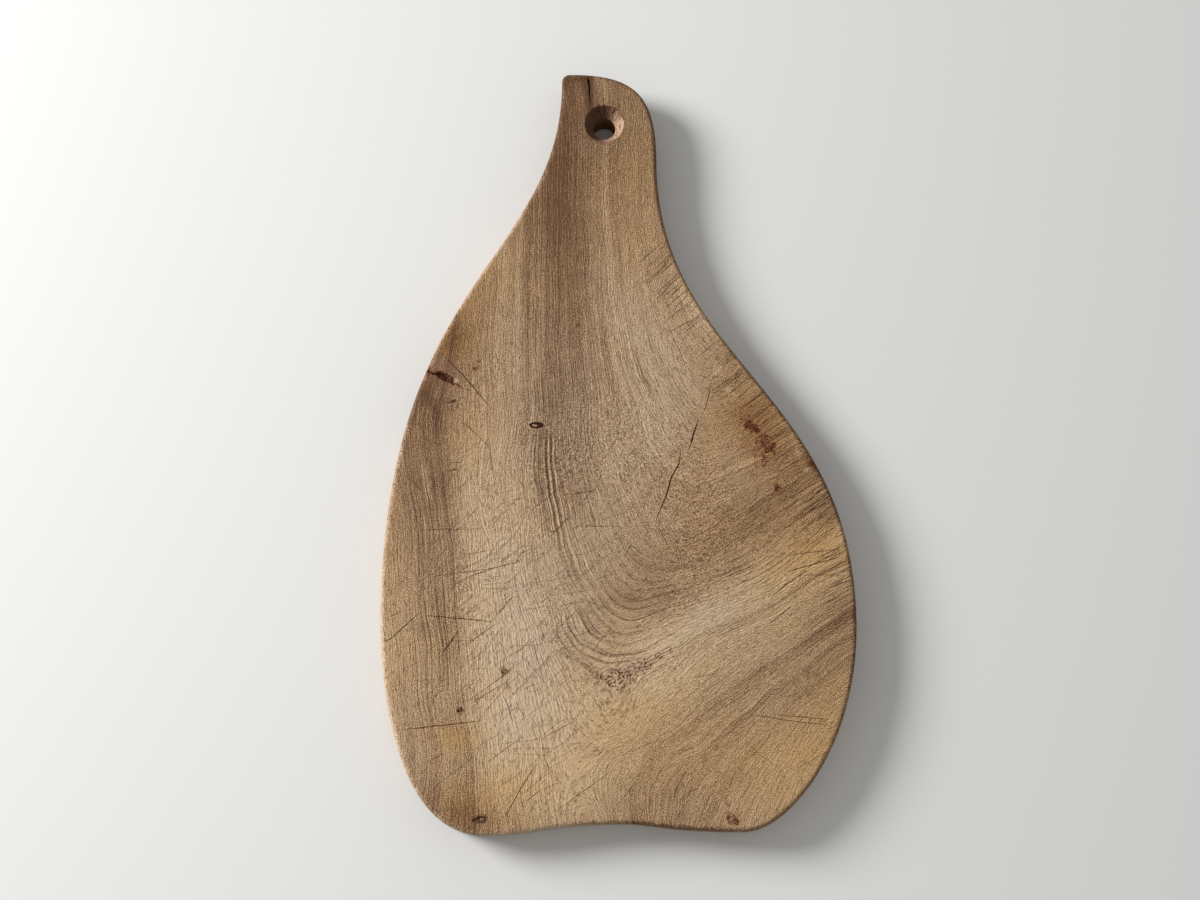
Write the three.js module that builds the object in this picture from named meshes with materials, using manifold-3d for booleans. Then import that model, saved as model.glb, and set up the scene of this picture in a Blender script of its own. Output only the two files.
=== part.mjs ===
// Paddle cutting board: one plank with a leaning handle, a countersunk hanging hole and three dead knots,
// each a separate plug of branch wood that lies in its own pocket in the plank.
// Millimetres. The board lies on its back with the cutting face up: +Y runs to the handle, and +X to the
// right as seen from the front. The origin is on the back face, under the middle of the outline.
import * as THREE from "three";
import { mergeVertices } from "three/addons/utils/BufferGeometryUtils.js";
import Module from "manifold-3d";

// Plank
const LENGTH = 400;
const BELLY_WIDTH = 237;
const THICKNESS = 20;
const EDGE_ROUND = 2.5;

// Handle: its width, and how far its middle lies off the plank's middle line
const HANDLE_WIDTH = 50.5;
const HANDLE_SHIFT = -4.25;
// Top left corner: the radius that is left on the face, inside the rounded edge
const CORNER_RADIUS = 1.5;
// Top right shoulder: how far below the top it starts, and how far each end runs on before it turns
const SHOULDER_DROP = 51.5;
const SHOULDER_SIDE_RUN = 39;
const SHOULDER_TOP_RUN = 37;

// Hips, the widest points of the belly: height above the bottom, and the run of the edge below and above
const RIGHT_HIP_HEIGHT = 107;
const RIGHT_HIP_LOWER_RUN = 66;
const RIGHT_HIP_UPPER_RUN = 117;
const LEFT_HIP_HEIGHT = 115;
const LEFT_HIP_LOWER_RUN = 48;
const LEFT_HIP_UPPER_RUN = 170.5;
// Run of the handle's sides down into the flanks
const HANDLE_RIGHT_RUN = 110.5;
const HANDLE_LEFT_RUN = 100.5;

// Feet at the bottom edge: distance in from the hips, and the run of the edge outwards
const RIGHT_FOOT_INSET = 57;
const RIGHT_FOOT_RISE = 1.6;
const RIGHT_FOOT_RUN = 19;
const LEFT_FOOT_INSET = 52.5;
const LEFT_FOOT_RUN = 40;
// Shallow arch between the feet
const ARCH_SHIFT = 1.5;
const ARCH_HEIGHT = 5.4;
const ARCH_LEFT_FOOT_RUN = 25;
const ARCH_LEFT_TOP_RUN = 35.5;
const ARCH_RIGHT_TOP_RUN = 17;
const ARCH_RIGHT_FOOT_RUN = 40;

// Hanging hole: its place from the top edge and the handle's middle, the bore and the countersink
const HOLE_DROP = 29.5;
const HOLE_SHIFT = -2.5;
const BORE_DIAMETER = 12;
const COUNTERSINK_DIAMETER = 21.5;
const COUNTERSINK_DEPTH = 6.5;

// Drying check: a wedge-shaped split in the handle's top edge, open to the cutting face
const CHECK_SHIFT = -11.4;
const CHECK_WIDTH = 1.4;
const CHECK_LENGTH = 17;
const CHECK_DEPTH = 8;
const CHECK_LEAN = THREE.MathUtils.degToRad(4);

// Gap between every knot and its pocket
const KNOT_GAP = 0.3;

// Edge knot: a spike of branch wood that comes in from the left flank, just under the cutting face
const EDGE_KNOT_RISE = 118;
const EDGE_KNOT_LENGTH = 30;
const EDGE_KNOT_DIAMETER = 17;
const EDGE_KNOT_TIP_DIAMETER = 2;
const EDGE_KNOT_SINK = 2;
const EDGE_KNOT_SLOPE = THREE.MathUtils.degToRad(26);
// Open heart in the edge knot, where the branch's core has gone
const HEART_INSET = 10;
const HEART_LENGTH = 13;
const HEART_WIDTH = 3.4;
const HEART_DEPTH = 2.4;
const HEART_SLOPE = THREE.MathUtils.degToRad(34);

// Pin knot in the middle of the belly: place from the left hip's height and the plank's middle line
const PIN_KNOT_RISE = 89;
const PIN_KNOT_SHIFT = -41.5;
const PIN_KNOT_LENGTH = 6.4;
const PIN_KNOT_WIDTH = 2.2;
const PIN_KNOT_SLOPE = THREE.MathUtils.degToRad(-2);
// Foot knot, just above the left foot
const FOOT_KNOT_RISE = 7.4;
const FOOT_KNOT_SHIFT = -0.7;
const FOOT_KNOT_LENGTH = 5.8;
const FOOT_KNOT_WIDTH = 3.2;
const FOOT_KNOT_SLOPE = THREE.MathUtils.degToRad(8);
// Both small knots: depth of the plug, its size at the buried end, and how far it has shrunk below the face
const SMALL_KNOT_DEPTH = 9;
const SMALL_KNOT_TAPER = 0.55;
const SMALL_KNOT_SINK = 0.2;

// Fineness of curves and rounds
const FACET = 5;
const ARC_STEPS = 8;
const ROUND_STEPS = 3;
const TURN_STEPS = 40;
// How far a cutting shape runs past the face that it cuts
const OVERCUT = 6;

const WOOD = new THREE.MeshStandardMaterial({ color: 0x9d8164, roughness: 0.72, metalness: 0 });
const KNOT_WOOD = new THREE.MeshStandardMaterial({ color: 0x6d4c38, roughness: 0.8, metalness: 0 });
const DARK_KNOT_WOOD = new THREE.MeshStandardMaterial({ color: 0x4a3024, roughness: 0.85, metalness: 0 });

const wasm = await Module();
wasm.setup();

// A closed geometry as a solid that can be joined and cut.
function solidOf(geometry) {
  const bare = geometry.clone();
  bare.deleteAttribute("normal");
  bare.deleteAttribute("uv");
  const merged = mergeVertices(bare);
  return new wasm.Manifold(
    new wasm.Mesh({
      numProp: 3,
      vertProperties: merged.attributes.position.array,
      triVerts: new Uint32Array(merged.index.array),
    }),
  );
}

// A solid as a named mesh.
function meshOf(name, solid, material) {
  const shape = solid.getMesh();
  const geometry = new THREE.BufferGeometry();
  geometry.setAttribute("position", new THREE.BufferAttribute(shape.vertProperties, 3));
  geometry.setIndex(new THREE.BufferAttribute(shape.triVerts, 1));
  geometry.computeVertexNormals();
  const mesh = new THREE.Mesh(geometry, material);
  mesh.name = name;
  return mesh;
}

const point = (x, y) => new THREE.Vector2(x, y);

// Stations of the outline, in plan
const TOP = LENGTH / 2;
const BOTTOM = -LENGTH / 2;
const RIGHT_HIP = point(BELLY_WIDTH / 2, BOTTOM + RIGHT_HIP_HEIGHT);
const LEFT_HIP = point(-BELLY_WIDTH / 2, BOTTOM + LEFT_HIP_HEIGHT);
const RIGHT_FOOT = point(RIGHT_HIP.x - RIGHT_FOOT_INSET, BOTTOM + RIGHT_FOOT_RISE);
const LEFT_FOOT = point(LEFT_HIP.x + LEFT_FOOT_INSET, BOTTOM);
const ARCH = point(ARCH_SHIFT, BOTTOM + ARCH_HEIGHT);
const HANDLE_RIGHT = point(HANDLE_SHIFT + HANDLE_WIDTH / 2, TOP - SHOULDER_DROP);
const OUTER_CORNER = CORNER_RADIUS + EDGE_ROUND;
const HANDLE_LEFT = point(HANDLE_SHIFT - HANDLE_WIDTH / 2, TOP - OUTER_CORNER);
const HANDLE_TOP = point(HANDLE_LEFT.x + OUTER_CORNER, TOP);

// A curve between two stations that leaves one and reaches the other along the given runs.
function sweep(from, leave, to, arrive) {
  return new THREE.CubicBezierCurve(from, from.clone().add(leave), to.clone().add(arrive), to);
}

const across = (run) => point(run, 0);
const along = (run) => point(0, run);

const LEFT_FLANK = sweep(HANDLE_LEFT, along(-HANDLE_LEFT_RUN), LEFT_HIP, along(LEFT_HIP_UPPER_RUN));

const OUTLINE = [
  sweep(RIGHT_FOOT, across(RIGHT_FOOT_RUN), RIGHT_HIP, along(-RIGHT_HIP_LOWER_RUN)),
  sweep(RIGHT_HIP, along(RIGHT_HIP_UPPER_RUN), HANDLE_RIGHT, along(-HANDLE_RIGHT_RUN)),
  sweep(HANDLE_RIGHT, along(SHOULDER_SIDE_RUN), HANDLE_TOP, across(SHOULDER_TOP_RUN)),
  new THREE.EllipseCurve(HANDLE_TOP.x, HANDLE_LEFT.y, OUTER_CORNER, OUTER_CORNER, Math.PI / 2, Math.PI),
  LEFT_FLANK,
  sweep(LEFT_HIP, along(-LEFT_HIP_LOWER_RUN), LEFT_FOOT, across(-LEFT_FOOT_RUN)),
  sweep(LEFT_FOOT, across(ARCH_LEFT_FOOT_RUN), ARCH, across(-ARCH_LEFT_TOP_RUN)),
  sweep(ARCH, across(ARCH_RIGHT_TOP_RUN), RIGHT_FOOT, across(-ARCH_RIGHT_FOOT_RUN)),
];

// The plank before any cut: the outline at full thickness, with both faces rounded over at the edge.
function blank() {
  const points = OUTLINE.flatMap((curve) => {
    const steps = Math.max(ARC_STEPS, Math.ceil(curve.getLength() / FACET));
    return curve.getSpacedPoints(steps).slice(0, steps);
  });
  const geometry = new THREE.ExtrudeGeometry(new THREE.Shape(points), {
    depth: THICKNESS - 2 * EDGE_ROUND,
    bevelSize: EDGE_ROUND,
    bevelThickness: EDGE_ROUND,
    bevelOffset: -EDGE_ROUND,
    bevelSegments: ROUND_STEPS,
  });
  return solidOf(geometry.translate(0, 0, EDGE_ROUND));
}

// A turned shape about a vertical axis, from [radius, height] pairs that start and end on the axis.
function turned(profile) {
  const geometry = new THREE.LatheGeometry(
    profile.map(([radius, height]) => point(radius, height)),
    TURN_STEPS,
  );
  return geometry.rotateX(Math.PI / 2);
}

// The hanging hole: a straight bore with a countersink in the cutting face.
function hangingHole() {
  const bore = BORE_DIAMETER / 2;
  const rim = COUNTERSINK_DIAMETER / 2;
  const flare = (rim - bore) / COUNTERSINK_DEPTH;
  const geometry = turned([
    [0, -OVERCUT],
    [bore, -OVERCUT],
    [bore, THICKNESS - COUNTERSINK_DEPTH],
    [rim + flare * OVERCUT, THICKNESS + OVERCUT],
    [0, THICKNESS + OVERCUT],
  ]);
  return solidOf(geometry.translate(HANDLE_SHIFT + HOLE_SHIFT, TOP - HOLE_DROP, 0));
}

// The drying check: a wedge, widest at the top edge, that runs down towards the hole.
function dryingCheck() {
  const flare = CHECK_WIDTH / CHECK_LENGTH / 2;
  const mouth = flare * (CHECK_LENGTH + OVERCUT);
  const wedge = new THREE.Shape([point(0, -CHECK_LENGTH), point(mouth, OVERCUT), point(-mouth, OVERCUT)]);
  const geometry = new THREE.ExtrudeGeometry(wedge, { depth: CHECK_DEPTH + OVERCUT, bevelEnabled: false });
  geometry.rotateZ(CHECK_LEAN);
  return solidOf(geometry.translate(HANDLE_SHIFT + CHECK_SHIFT, TOP, THICKNESS - CHECK_DEPTH));
}

// Where the edge knot comes in through the left flank.
function edgeKnotEntry() {
  const height = LEFT_HIP.y + EDGE_KNOT_RISE;
  return LEFT_FLANK.getSpacedPoints(LENGTH).find((place) => place.y <= height);
}

// The edge knot's spike, grown all round by a gap. It points from the flank into the plank.
function spike(gap) {
  const tip = EDGE_KNOT_TIP_DIAMETER / 2;
  const flare = (EDGE_KNOT_DIAMETER / 2 - tip) / EDGE_KNOT_LENGTH;
  const outer = EDGE_KNOT_LENGTH + EDGE_KNOT_DIAMETER;
  const entry = edgeKnotEntry();
  const geometry = turned([
    [0, -gap],
    [tip + gap, -gap],
    [tip + flare * outer + gap, outer],
    [0, outer],
  ]);
  geometry.translate(0, 0, -EDGE_KNOT_LENGTH);
  geometry.rotateY(-Math.PI / 2);
  geometry.rotateZ(-EDGE_KNOT_SLOPE);
  return solidOf(geometry.translate(entry.x, entry.y, THICKNESS - EDGE_KNOT_SINK));
}

// The open heart in the edge knot's face.
function heart() {
  const entry = edgeKnotEntry();
  const geometry = new THREE.SphereGeometry(1, TURN_STEPS / 2, ARC_STEPS);
  geometry.scale(HEART_LENGTH / 2, HEART_WIDTH / 2, HEART_DEPTH);
  geometry.rotateZ(-HEART_SLOPE);
  return solidOf(
    geometry.translate(
      entry.x + HEART_INSET * Math.cos(EDGE_KNOT_SLOPE),
      entry.y - HEART_INSET * Math.sin(EDGE_KNOT_SLOPE),
      THICKNESS,
    ),
  );
}

// A small knot: an oval plug that narrows with depth. Its pocket is the same shape, a gap larger and open
// at the cutting face.
function smallKnot(name, place, length, width, slope) {
  const oval = (longRadius, wideRadius, floor, ceiling) => {
    const geometry = turned([
      [0, floor],
      [SMALL_KNOT_TAPER, floor],
      [1, THICKNESS - SMALL_KNOT_SINK],
      [1, ceiling],
      [0, ceiling],
    ]);
    geometry.scale(longRadius, wideRadius, 1);
    geometry.rotateZ(slope);
    return solidOf(geometry.translate(place.x, place.y, 0));
  };
  const floor = THICKNESS - SMALL_KNOT_DEPTH;
  const widest = THICKNESS - SMALL_KNOT_SINK;
  const plug = oval(length / 2, width / 2, floor, widest);
  const pocket = oval(length / 2 + KNOT_GAP, width / 2 + KNOT_GAP, floor - KNOT_GAP, THICKNESS + OVERCUT);
  return { name, plug, pocket };
}

const plank = blank();
const edgeKnot = plank.intersect(spike(0)).subtract(heart());
const smallKnots = [
  smallKnot(
    "pin_knot",
    point(PIN_KNOT_SHIFT, LEFT_HIP.y + PIN_KNOT_RISE),
    PIN_KNOT_LENGTH,
    PIN_KNOT_WIDTH,
    PIN_KNOT_SLOPE,
  ),
  smallKnot(
    "foot_knot",
    point(LEFT_FOOT.x + FOOT_KNOT_SHIFT, LEFT_FOOT.y + FOOT_KNOT_RISE),
    FOOT_KNOT_LENGTH,
    FOOT_KNOT_WIDTH,
    FOOT_KNOT_SLOPE,
  ),
];
const cuts = [hangingHole(), dryingCheck(), spike(KNOT_GAP), ...smallKnots.map((knot) => knot.pocket)];
const board = cuts.reduce((rest, cut) => rest.subtract(cut), plank);

const cuttingBoard = new THREE.Group();
cuttingBoard.name = "paddle_cutting_board";
cuttingBoard.add(meshOf("board", board, WOOD));
cuttingBoard.add(meshOf("edge_knot", edgeKnot, KNOT_WOOD));
smallKnots.forEach(({ name, plug }) => cuttingBoard.add(meshOf(name, plug, DARK_KNOT_WOOD)));

export default cuttingBoard;
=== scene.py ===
"""A paddle cutting board of crotch wood: the plank, its three dead knots, a studio and a camera.

Sizes in the classes are millimetres in the part's own frame. The plank lies on its back, with +Y towards the
handle and +Z out of the cutting face. Meshes are written in metres.
"""

import logging
import math
from collections.abc import Sequence
from dataclasses import dataclass
from enum import Enum

import bmesh
import bpy
import numpy as np
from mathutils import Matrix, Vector, geometry, kdtree, noise


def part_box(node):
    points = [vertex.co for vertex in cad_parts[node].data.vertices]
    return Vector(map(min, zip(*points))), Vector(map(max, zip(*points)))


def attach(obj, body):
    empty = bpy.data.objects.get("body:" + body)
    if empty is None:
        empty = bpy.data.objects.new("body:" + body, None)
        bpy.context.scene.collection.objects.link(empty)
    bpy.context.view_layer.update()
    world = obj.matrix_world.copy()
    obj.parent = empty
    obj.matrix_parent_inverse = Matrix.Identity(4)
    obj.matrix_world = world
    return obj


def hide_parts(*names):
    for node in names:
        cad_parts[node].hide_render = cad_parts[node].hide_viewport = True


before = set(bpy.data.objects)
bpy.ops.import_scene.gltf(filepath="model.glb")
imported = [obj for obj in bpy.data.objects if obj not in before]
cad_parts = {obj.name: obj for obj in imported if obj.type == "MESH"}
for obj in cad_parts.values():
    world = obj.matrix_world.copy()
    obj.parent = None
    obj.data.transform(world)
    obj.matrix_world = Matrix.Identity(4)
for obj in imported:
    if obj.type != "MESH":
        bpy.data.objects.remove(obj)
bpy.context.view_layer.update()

LOG = logging.getLogger("paddle_board")
MM = 0.001
BODY = "root"

Array = np.ndarray
Point = tuple[float, float]
Course = tuple[Point, ...]
Colour = tuple[float, float, float, float]


def tint(code: str) -> Colour:
    """Turns a six-figure screen colour into the linear colour that shaders take.

    Args:
        code: Red, green and blue as two hexadecimal figures each.

    Returns:
        The linear colour, opaque.
    """
    shares = [int(code[i:i + 2], 16) / 255 for i in (0, 2, 4)]
    linear = [s / 12.92 if s <= 0.04045 else ((s + 0.055) / 1.055) ** 2.4 for s in shares]
    return (linear[0], linear[1], linear[2], 1.0)


def rise(values: Array, low: float, high: float) -> Array:
    """Runs smoothly from 0 at low to 1 at high.

    Args:
        values: Numbers to place between the two ends.
        low: Where the rise starts.
        high: Where it ends.

    Returns:
        A share from 0 to 1 for each number.
    """
    share = np.clip((values - low) / (high - low), 0.0, 1.0)
    return share * share * (3.0 - 2.0 * share)


def ripple(points: Array, size: float, layer: float = 0.0) -> Array:
    """Smooth noise over space, about -1 to 1.

    Args:
        points: Places, in millimetres, with two or three numbers each.
        size: Size of one swell, in millimetres.
        layer: Picks one of many unlike patterns.

    Returns:
        One number for each place.
    """
    heights = points[:, 2] if points.shape[1] > 2 else np.zeros(len(points))
    rows = np.column_stack([points[:, :2], heights]) / size + layer * 37.0
    return np.array([noise.noise(Vector(row)) for row in rows])


class Value:
    """A number that varies over a surface. Sums written with it add Math nodes."""

    def __init__(self, shader: "Shader", socket: bpy.types.NodeSocket) -> None:
        """Wraps a socket of the shader's tree."""
        self.shader = shader
        self.socket = socket

    def __add__(self, other: "Value | float") -> "Value":
        """Self plus other."""
        return self.shader.math("ADD", self, other)

    __radd__ = __add__

    def __mul__(self, other: "Value | float") -> "Value":
        """Self times other."""
        return self.shader.math("MULTIPLY", self, other)

    __rmul__ = __mul__

    def __sub__(self, other: "Value | float") -> "Value":
        """Self less other."""
        return self.shader.math("SUBTRACT", self, other)

    def __rsub__(self, other: float) -> "Value":
        """Other less self."""
        return self.shader.math("SUBTRACT", other, self)

    def __truediv__(self, other: "Value | float") -> "Value":
        """Self over other."""
        return self.shader.math("DIVIDE", self, other)

    def most(self, other: "Value | float") -> "Value":
        """The larger of self and other."""
        return self.shader.math("MAXIMUM", self, other)

    def rise(self, low: float, high: float) -> "Value":
        """Runs smoothly from 0 where self is low to 1 where it is high.

        Args:
            low: Where the rise starts.
            high: Where it ends.

        Returns:
            The share from 0 to 1.
        """
        sockets = {"Value": self, "From Min": low, "From Max": high}
        made = self.shader.node("ShaderNodeMapRange", {"interpolation_type": "SMOOTHSTEP"}, sockets)
        return Value(self.shader, made.outputs[0])


Link = Value | bpy.types.NodeSocket | float | Sequence[float]


class Shader:
    """Builds the nodes of one material or of the world."""

    def __init__(self, tree: bpy.types.NodeTree) -> None:
        """Starts from an emptied node tree."""
        self.tree = tree
        self.tree.nodes.clear()

    def node(self, kind: str, settings: dict, sockets: dict[str | int, Link]) -> bpy.types.Node:
        """Adds a node of any type.

        Args:
            kind: The node's type.
            settings: Its properties, set before its sockets; stops are a colour ramp's (place, colour) pairs.
            sockets: A value or a link for each input, by name or number.

        Returns:
            The node.
        """
        made = self.tree.nodes.new(kind)
        for name, value in settings.items():
            if name == "stops":
                for _ in value[2:]:
                    made.color_ramp.elements.new(0.5)
                for element, (place, colour) in zip(made.color_ramp.elements, value):
                    element.position = place
                    element.color = colour
            else:
                setattr(made, name, value)
        for name, value in sockets.items():
            source = value.socket if isinstance(value, Value) else value
            if isinstance(source, bpy.types.NodeSocket):
                self.tree.links.new(source, made.inputs[name])
            else:
                made.inputs[name].default_value = source
        return made

    def math(self, operation: str, first: "Value | float", second: "Value | float") -> Value:
        """Adds one Math node and gives its result."""
        return Value(self, self.node("ShaderNodeMath", {"operation": operation}, {0: first, 1: second}).outputs[0])

    def attribute(self, name: str) -> Value:
        """A number that the mesh carries at each vertex."""
        return Value(self, self.node("ShaderNodeAttribute", {"attribute_name": name}, {}).outputs["Fac"])

    def place(self, size: float) -> bpy.types.NodeSocket:
        """The place on the piece, counted in steps of size millimetres."""
        place = self.node("ShaderNodeTexCoord", {}, {}).outputs["Object"]
        scale = {"Vector": place, "Scale": 1.0 / (size * MM)}
        return self.node("ShaderNodeVectorMath", {"operation": "SCALE"}, scale).outputs[0]

    def mottle(self, size: float, detail: float) -> Value:
        """Cloudy noise, 0 to 1, with clouds of size millimetres."""
        sockets = {"Vector": self.place(size), "Scale": 1.0, "Detail": detail}
        return Value(self, self.node("ShaderNodeTexNoise", {"noise_dimensions": "3D"}, sockets).outputs[0])

    def streaks(self, growth: Value, across: float, along: float, detail: float) -> Value:
        """Noise drawn out along the grain, 0 to 1.

        Args:
            growth: The growth level, which is constant along a grain line.
            across: Width of a streak, in millimetres.
            along: Length of a streak, in millimetres.
            detail: Octaves of finer noise.

        Returns:
            The noise.
        """
        sockets = {"Vector": self.place(along), "W": growth / across, "Scale": 1.0, "Detail": detail}
        return Value(self, self.node("ShaderNodeTexNoise", {"noise_dimensions": "4D"}, sockets).outputs[0])

    def scratches(self, lean: float, across: float, along: float, layer: int) -> Value:
        """Straight scratches, 1 in a scratch and 0 beside it.

        Args:
            lean: Their lean from +X, in degrees.
            across: Their width, in millimetres.
            along: Their length, in millimetres.
            layer: Picks one of many unlike patterns.

        Returns:
            The scratches.
        """
        turn = {"Vector": self.place(1.0), "Angle": -math.radians(lean)}
        turned = self.node("ShaderNodeVectorRotate", {"rotation_type": "Z_AXIS"}, turn).outputs[0]
        sizes = {0: turned, 1: (1.0 / along, 1.0 / across, 1.0 / along)}
        drawn = self.node("ShaderNodeVectorMath", {"operation": "MULTIPLY"}, sizes).outputs[0]
        sockets = {"Vector": drawn, "W": 7.3 * layer, "Scale": 1.0, "Detail": 0.0}
        made = self.node("ShaderNodeTexNoise", {"noise_dimensions": "4D"}, sockets)
        return Value(self, made.outputs[0]).rise(0.62, 0.72)

    def ramp(self, value: Value, stops: Sequence[tuple[float, Colour]]) -> bpy.types.NodeSocket:
        """The colour at a value along a row of stops."""
        return self.node("ShaderNodeValToRGB", {"stops": stops}, {"Fac": value}).outputs[0]

    def mix(self, share: Link, first: Link, second: Link, blend: str = "MIX") -> bpy.types.NodeSocket:
        """Mixes two colours.

        Args:
            share: How much of the second colour is laid over the first.
            first: The colour below.
            second: The colour above.
            blend: How the second colour is laid on.

        Returns:
            The mixed colour.
        """
        settings = {"data_type": "RGBA", "blend_type": blend, "clamp_factor": True}
        return self.node("ShaderNodeMix", settings, {0: share, 6: first, 7: second}).outputs[2]

    def surface(self, colour: Link, roughness: Link, height: Value | None, relief: float) -> None:
        """Ends the tree in a shaded surface.

        Args:
            colour: Base colour.
            roughness: Roughness of the shine.
            height: Relief as a share of its full height, or None for a smooth surface.
            relief: Full height of the relief, in millimetres.
        """
        sockets: dict[str | int, Link] = {"Base Color": colour, "Roughness": roughness, "Specular IOR Level": 0.2}
        if height is not None:
            bump = {"Height": height, "Distance": relief * MM, "Strength": 1.0}
            sockets["Normal"] = self.node("ShaderNodeBump", {}, bump).outputs[0]
        shaded = self.node("ShaderNodeBsdfPrincipled", {}, sockets)
        self.node("ShaderNodeOutputMaterial", {}, {"Surface": shaded.outputs[0]})


def new_material(name: str) -> tuple[bpy.types.Material, Shader]:
    """Makes an empty material.

    Args:
        name: The material's name.

    Returns:
        The material and the builder of its nodes.
    """
    material = bpy.data.materials.new(name)
    material.use_nodes = True
    return material, Shader(material.node_tree)


class Draft:
    """Gathers the vertices and faces of one mesh, in millimetres."""

    def __init__(self) -> None:
        """Starts with nothing."""
        self.points: list[Array] = []
        self.faces: list[tuple[int, ...]] = []
        self.count = 0

    def add(self, points: Array, faces: Sequence[Sequence[int]]) -> None:
        """Adds vertices, and faces that count from the first of them."""
        self.points.append(np.asarray(points, float))
        self.faces += [tuple(int(i) + self.count for i in face) for face in faces]
        self.count += len(points)

    def skin(self, rings: Sequence[Array]) -> None:
        """Joins closed rings of as many points each, one after the other, with four-sided faces."""
        size = len(rings[0])
        corners = [(i, (i + 1) % size) for i in range(size)]
        faces = [
            (row * size + a, row * size + b, (row + 1) * size + b, (row + 1) * size + a)
            for row in range(len(rings) - 1) for a, b in corners
        ]
        self.add(np.vstack(rings), faces)

    def cap(self, ring: Array) -> None:
        """Closes a ring with a fan round its middle."""
        size = len(ring)
        self.add(np.vstack([ring, ring.mean(0)]), [(i, (i + 1) % size, size) for i in range(size)])

    def build(self, name: str, weld: float = 0.002) -> bpy.types.Object:
        """Makes the object, with vertices that lie together joined.

        Args:
            name: The object's name.
            weld: Distance within which vertices are joined, in millimetres.

        Returns:
            The object, in the scene.
        """
        mesh = bpy.data.meshes.new(name)
        mesh.from_pydata((np.vstack(self.points) * MM).tolist(), [], self.faces)
        work = bmesh.new()
        work.from_mesh(mesh)
        bmesh.ops.remove_doubles(work, verts=work.verts, dist=weld * MM)
        bmesh.ops.delete(work, geom=[v for v in work.verts if not v.link_faces], context="VERTS")
        bmesh.ops.triangulate(work, faces=work.faces)
        bmesh.ops.recalc_face_normals(work, faces=work.faces)
        work.to_mesh(mesh)
        work.free()
        made = bpy.data.objects.new(name, mesh)
        bpy.context.scene.collection.objects.link(made)
        return made


def vertices(piece: bpy.types.Object) -> Array:
    """The places of a mesh's vertices, in millimetres."""
    places = np.empty(len(piece.data.vertices) * 3, np.float32)
    piece.data.vertices.foreach_get("co", places)
    return places.reshape(-1, 3).astype(float) / MM


def carry(piece: bpy.types.Object, name: str, values: Array) -> None:
    """Writes one number for each vertex into the mesh, for its material to read."""
    layer = piece.data.attributes.new(name, "FLOAT", "POINT")
    layer.data.foreach_set("value", np.asarray(values, np.float32))


class Carve(Enum):
    """What is kept of a piece when a tool's shape meets it."""

    OUTSIDE = "DIFFERENCE"
    INSIDE = "INTERSECT"


def carve(piece: bpy.types.Object, tool: bpy.types.Object, keep: Carve) -> None:
    """Cuts a piece along a tool's shape and removes the tool.

    Args:
        piece: The piece to cut.
        tool: A closed solid.
        keep: The part of the piece that stays.
    """
    step = piece.modifiers.new("cut", "BOOLEAN")
    step.operation = keep.value
    step.solver = "MANIFOLD"
    step.object = tool
    shaped = piece.evaluated_get(bpy.context.evaluated_depsgraph_get())
    mesh = bpy.data.meshes.new_from_object(shaped)
    if len(mesh.vertices) == len(piece.data.vertices):
        raise RuntimeError(f"{tool.name} left {piece.name} uncut")
    piece.modifiers.remove(step)
    piece.data = mesh
    bpy.data.objects.remove(tool)


def finish_mesh(piece: bpy.types.Object, arris: float) -> None:
    """Shades a piece smooth, with edges sharper than arris degrees left crisp."""
    piece.data.shade_smooth()
    piece.data.set_sharp_from_angle(angle=math.radians(arris))


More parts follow.
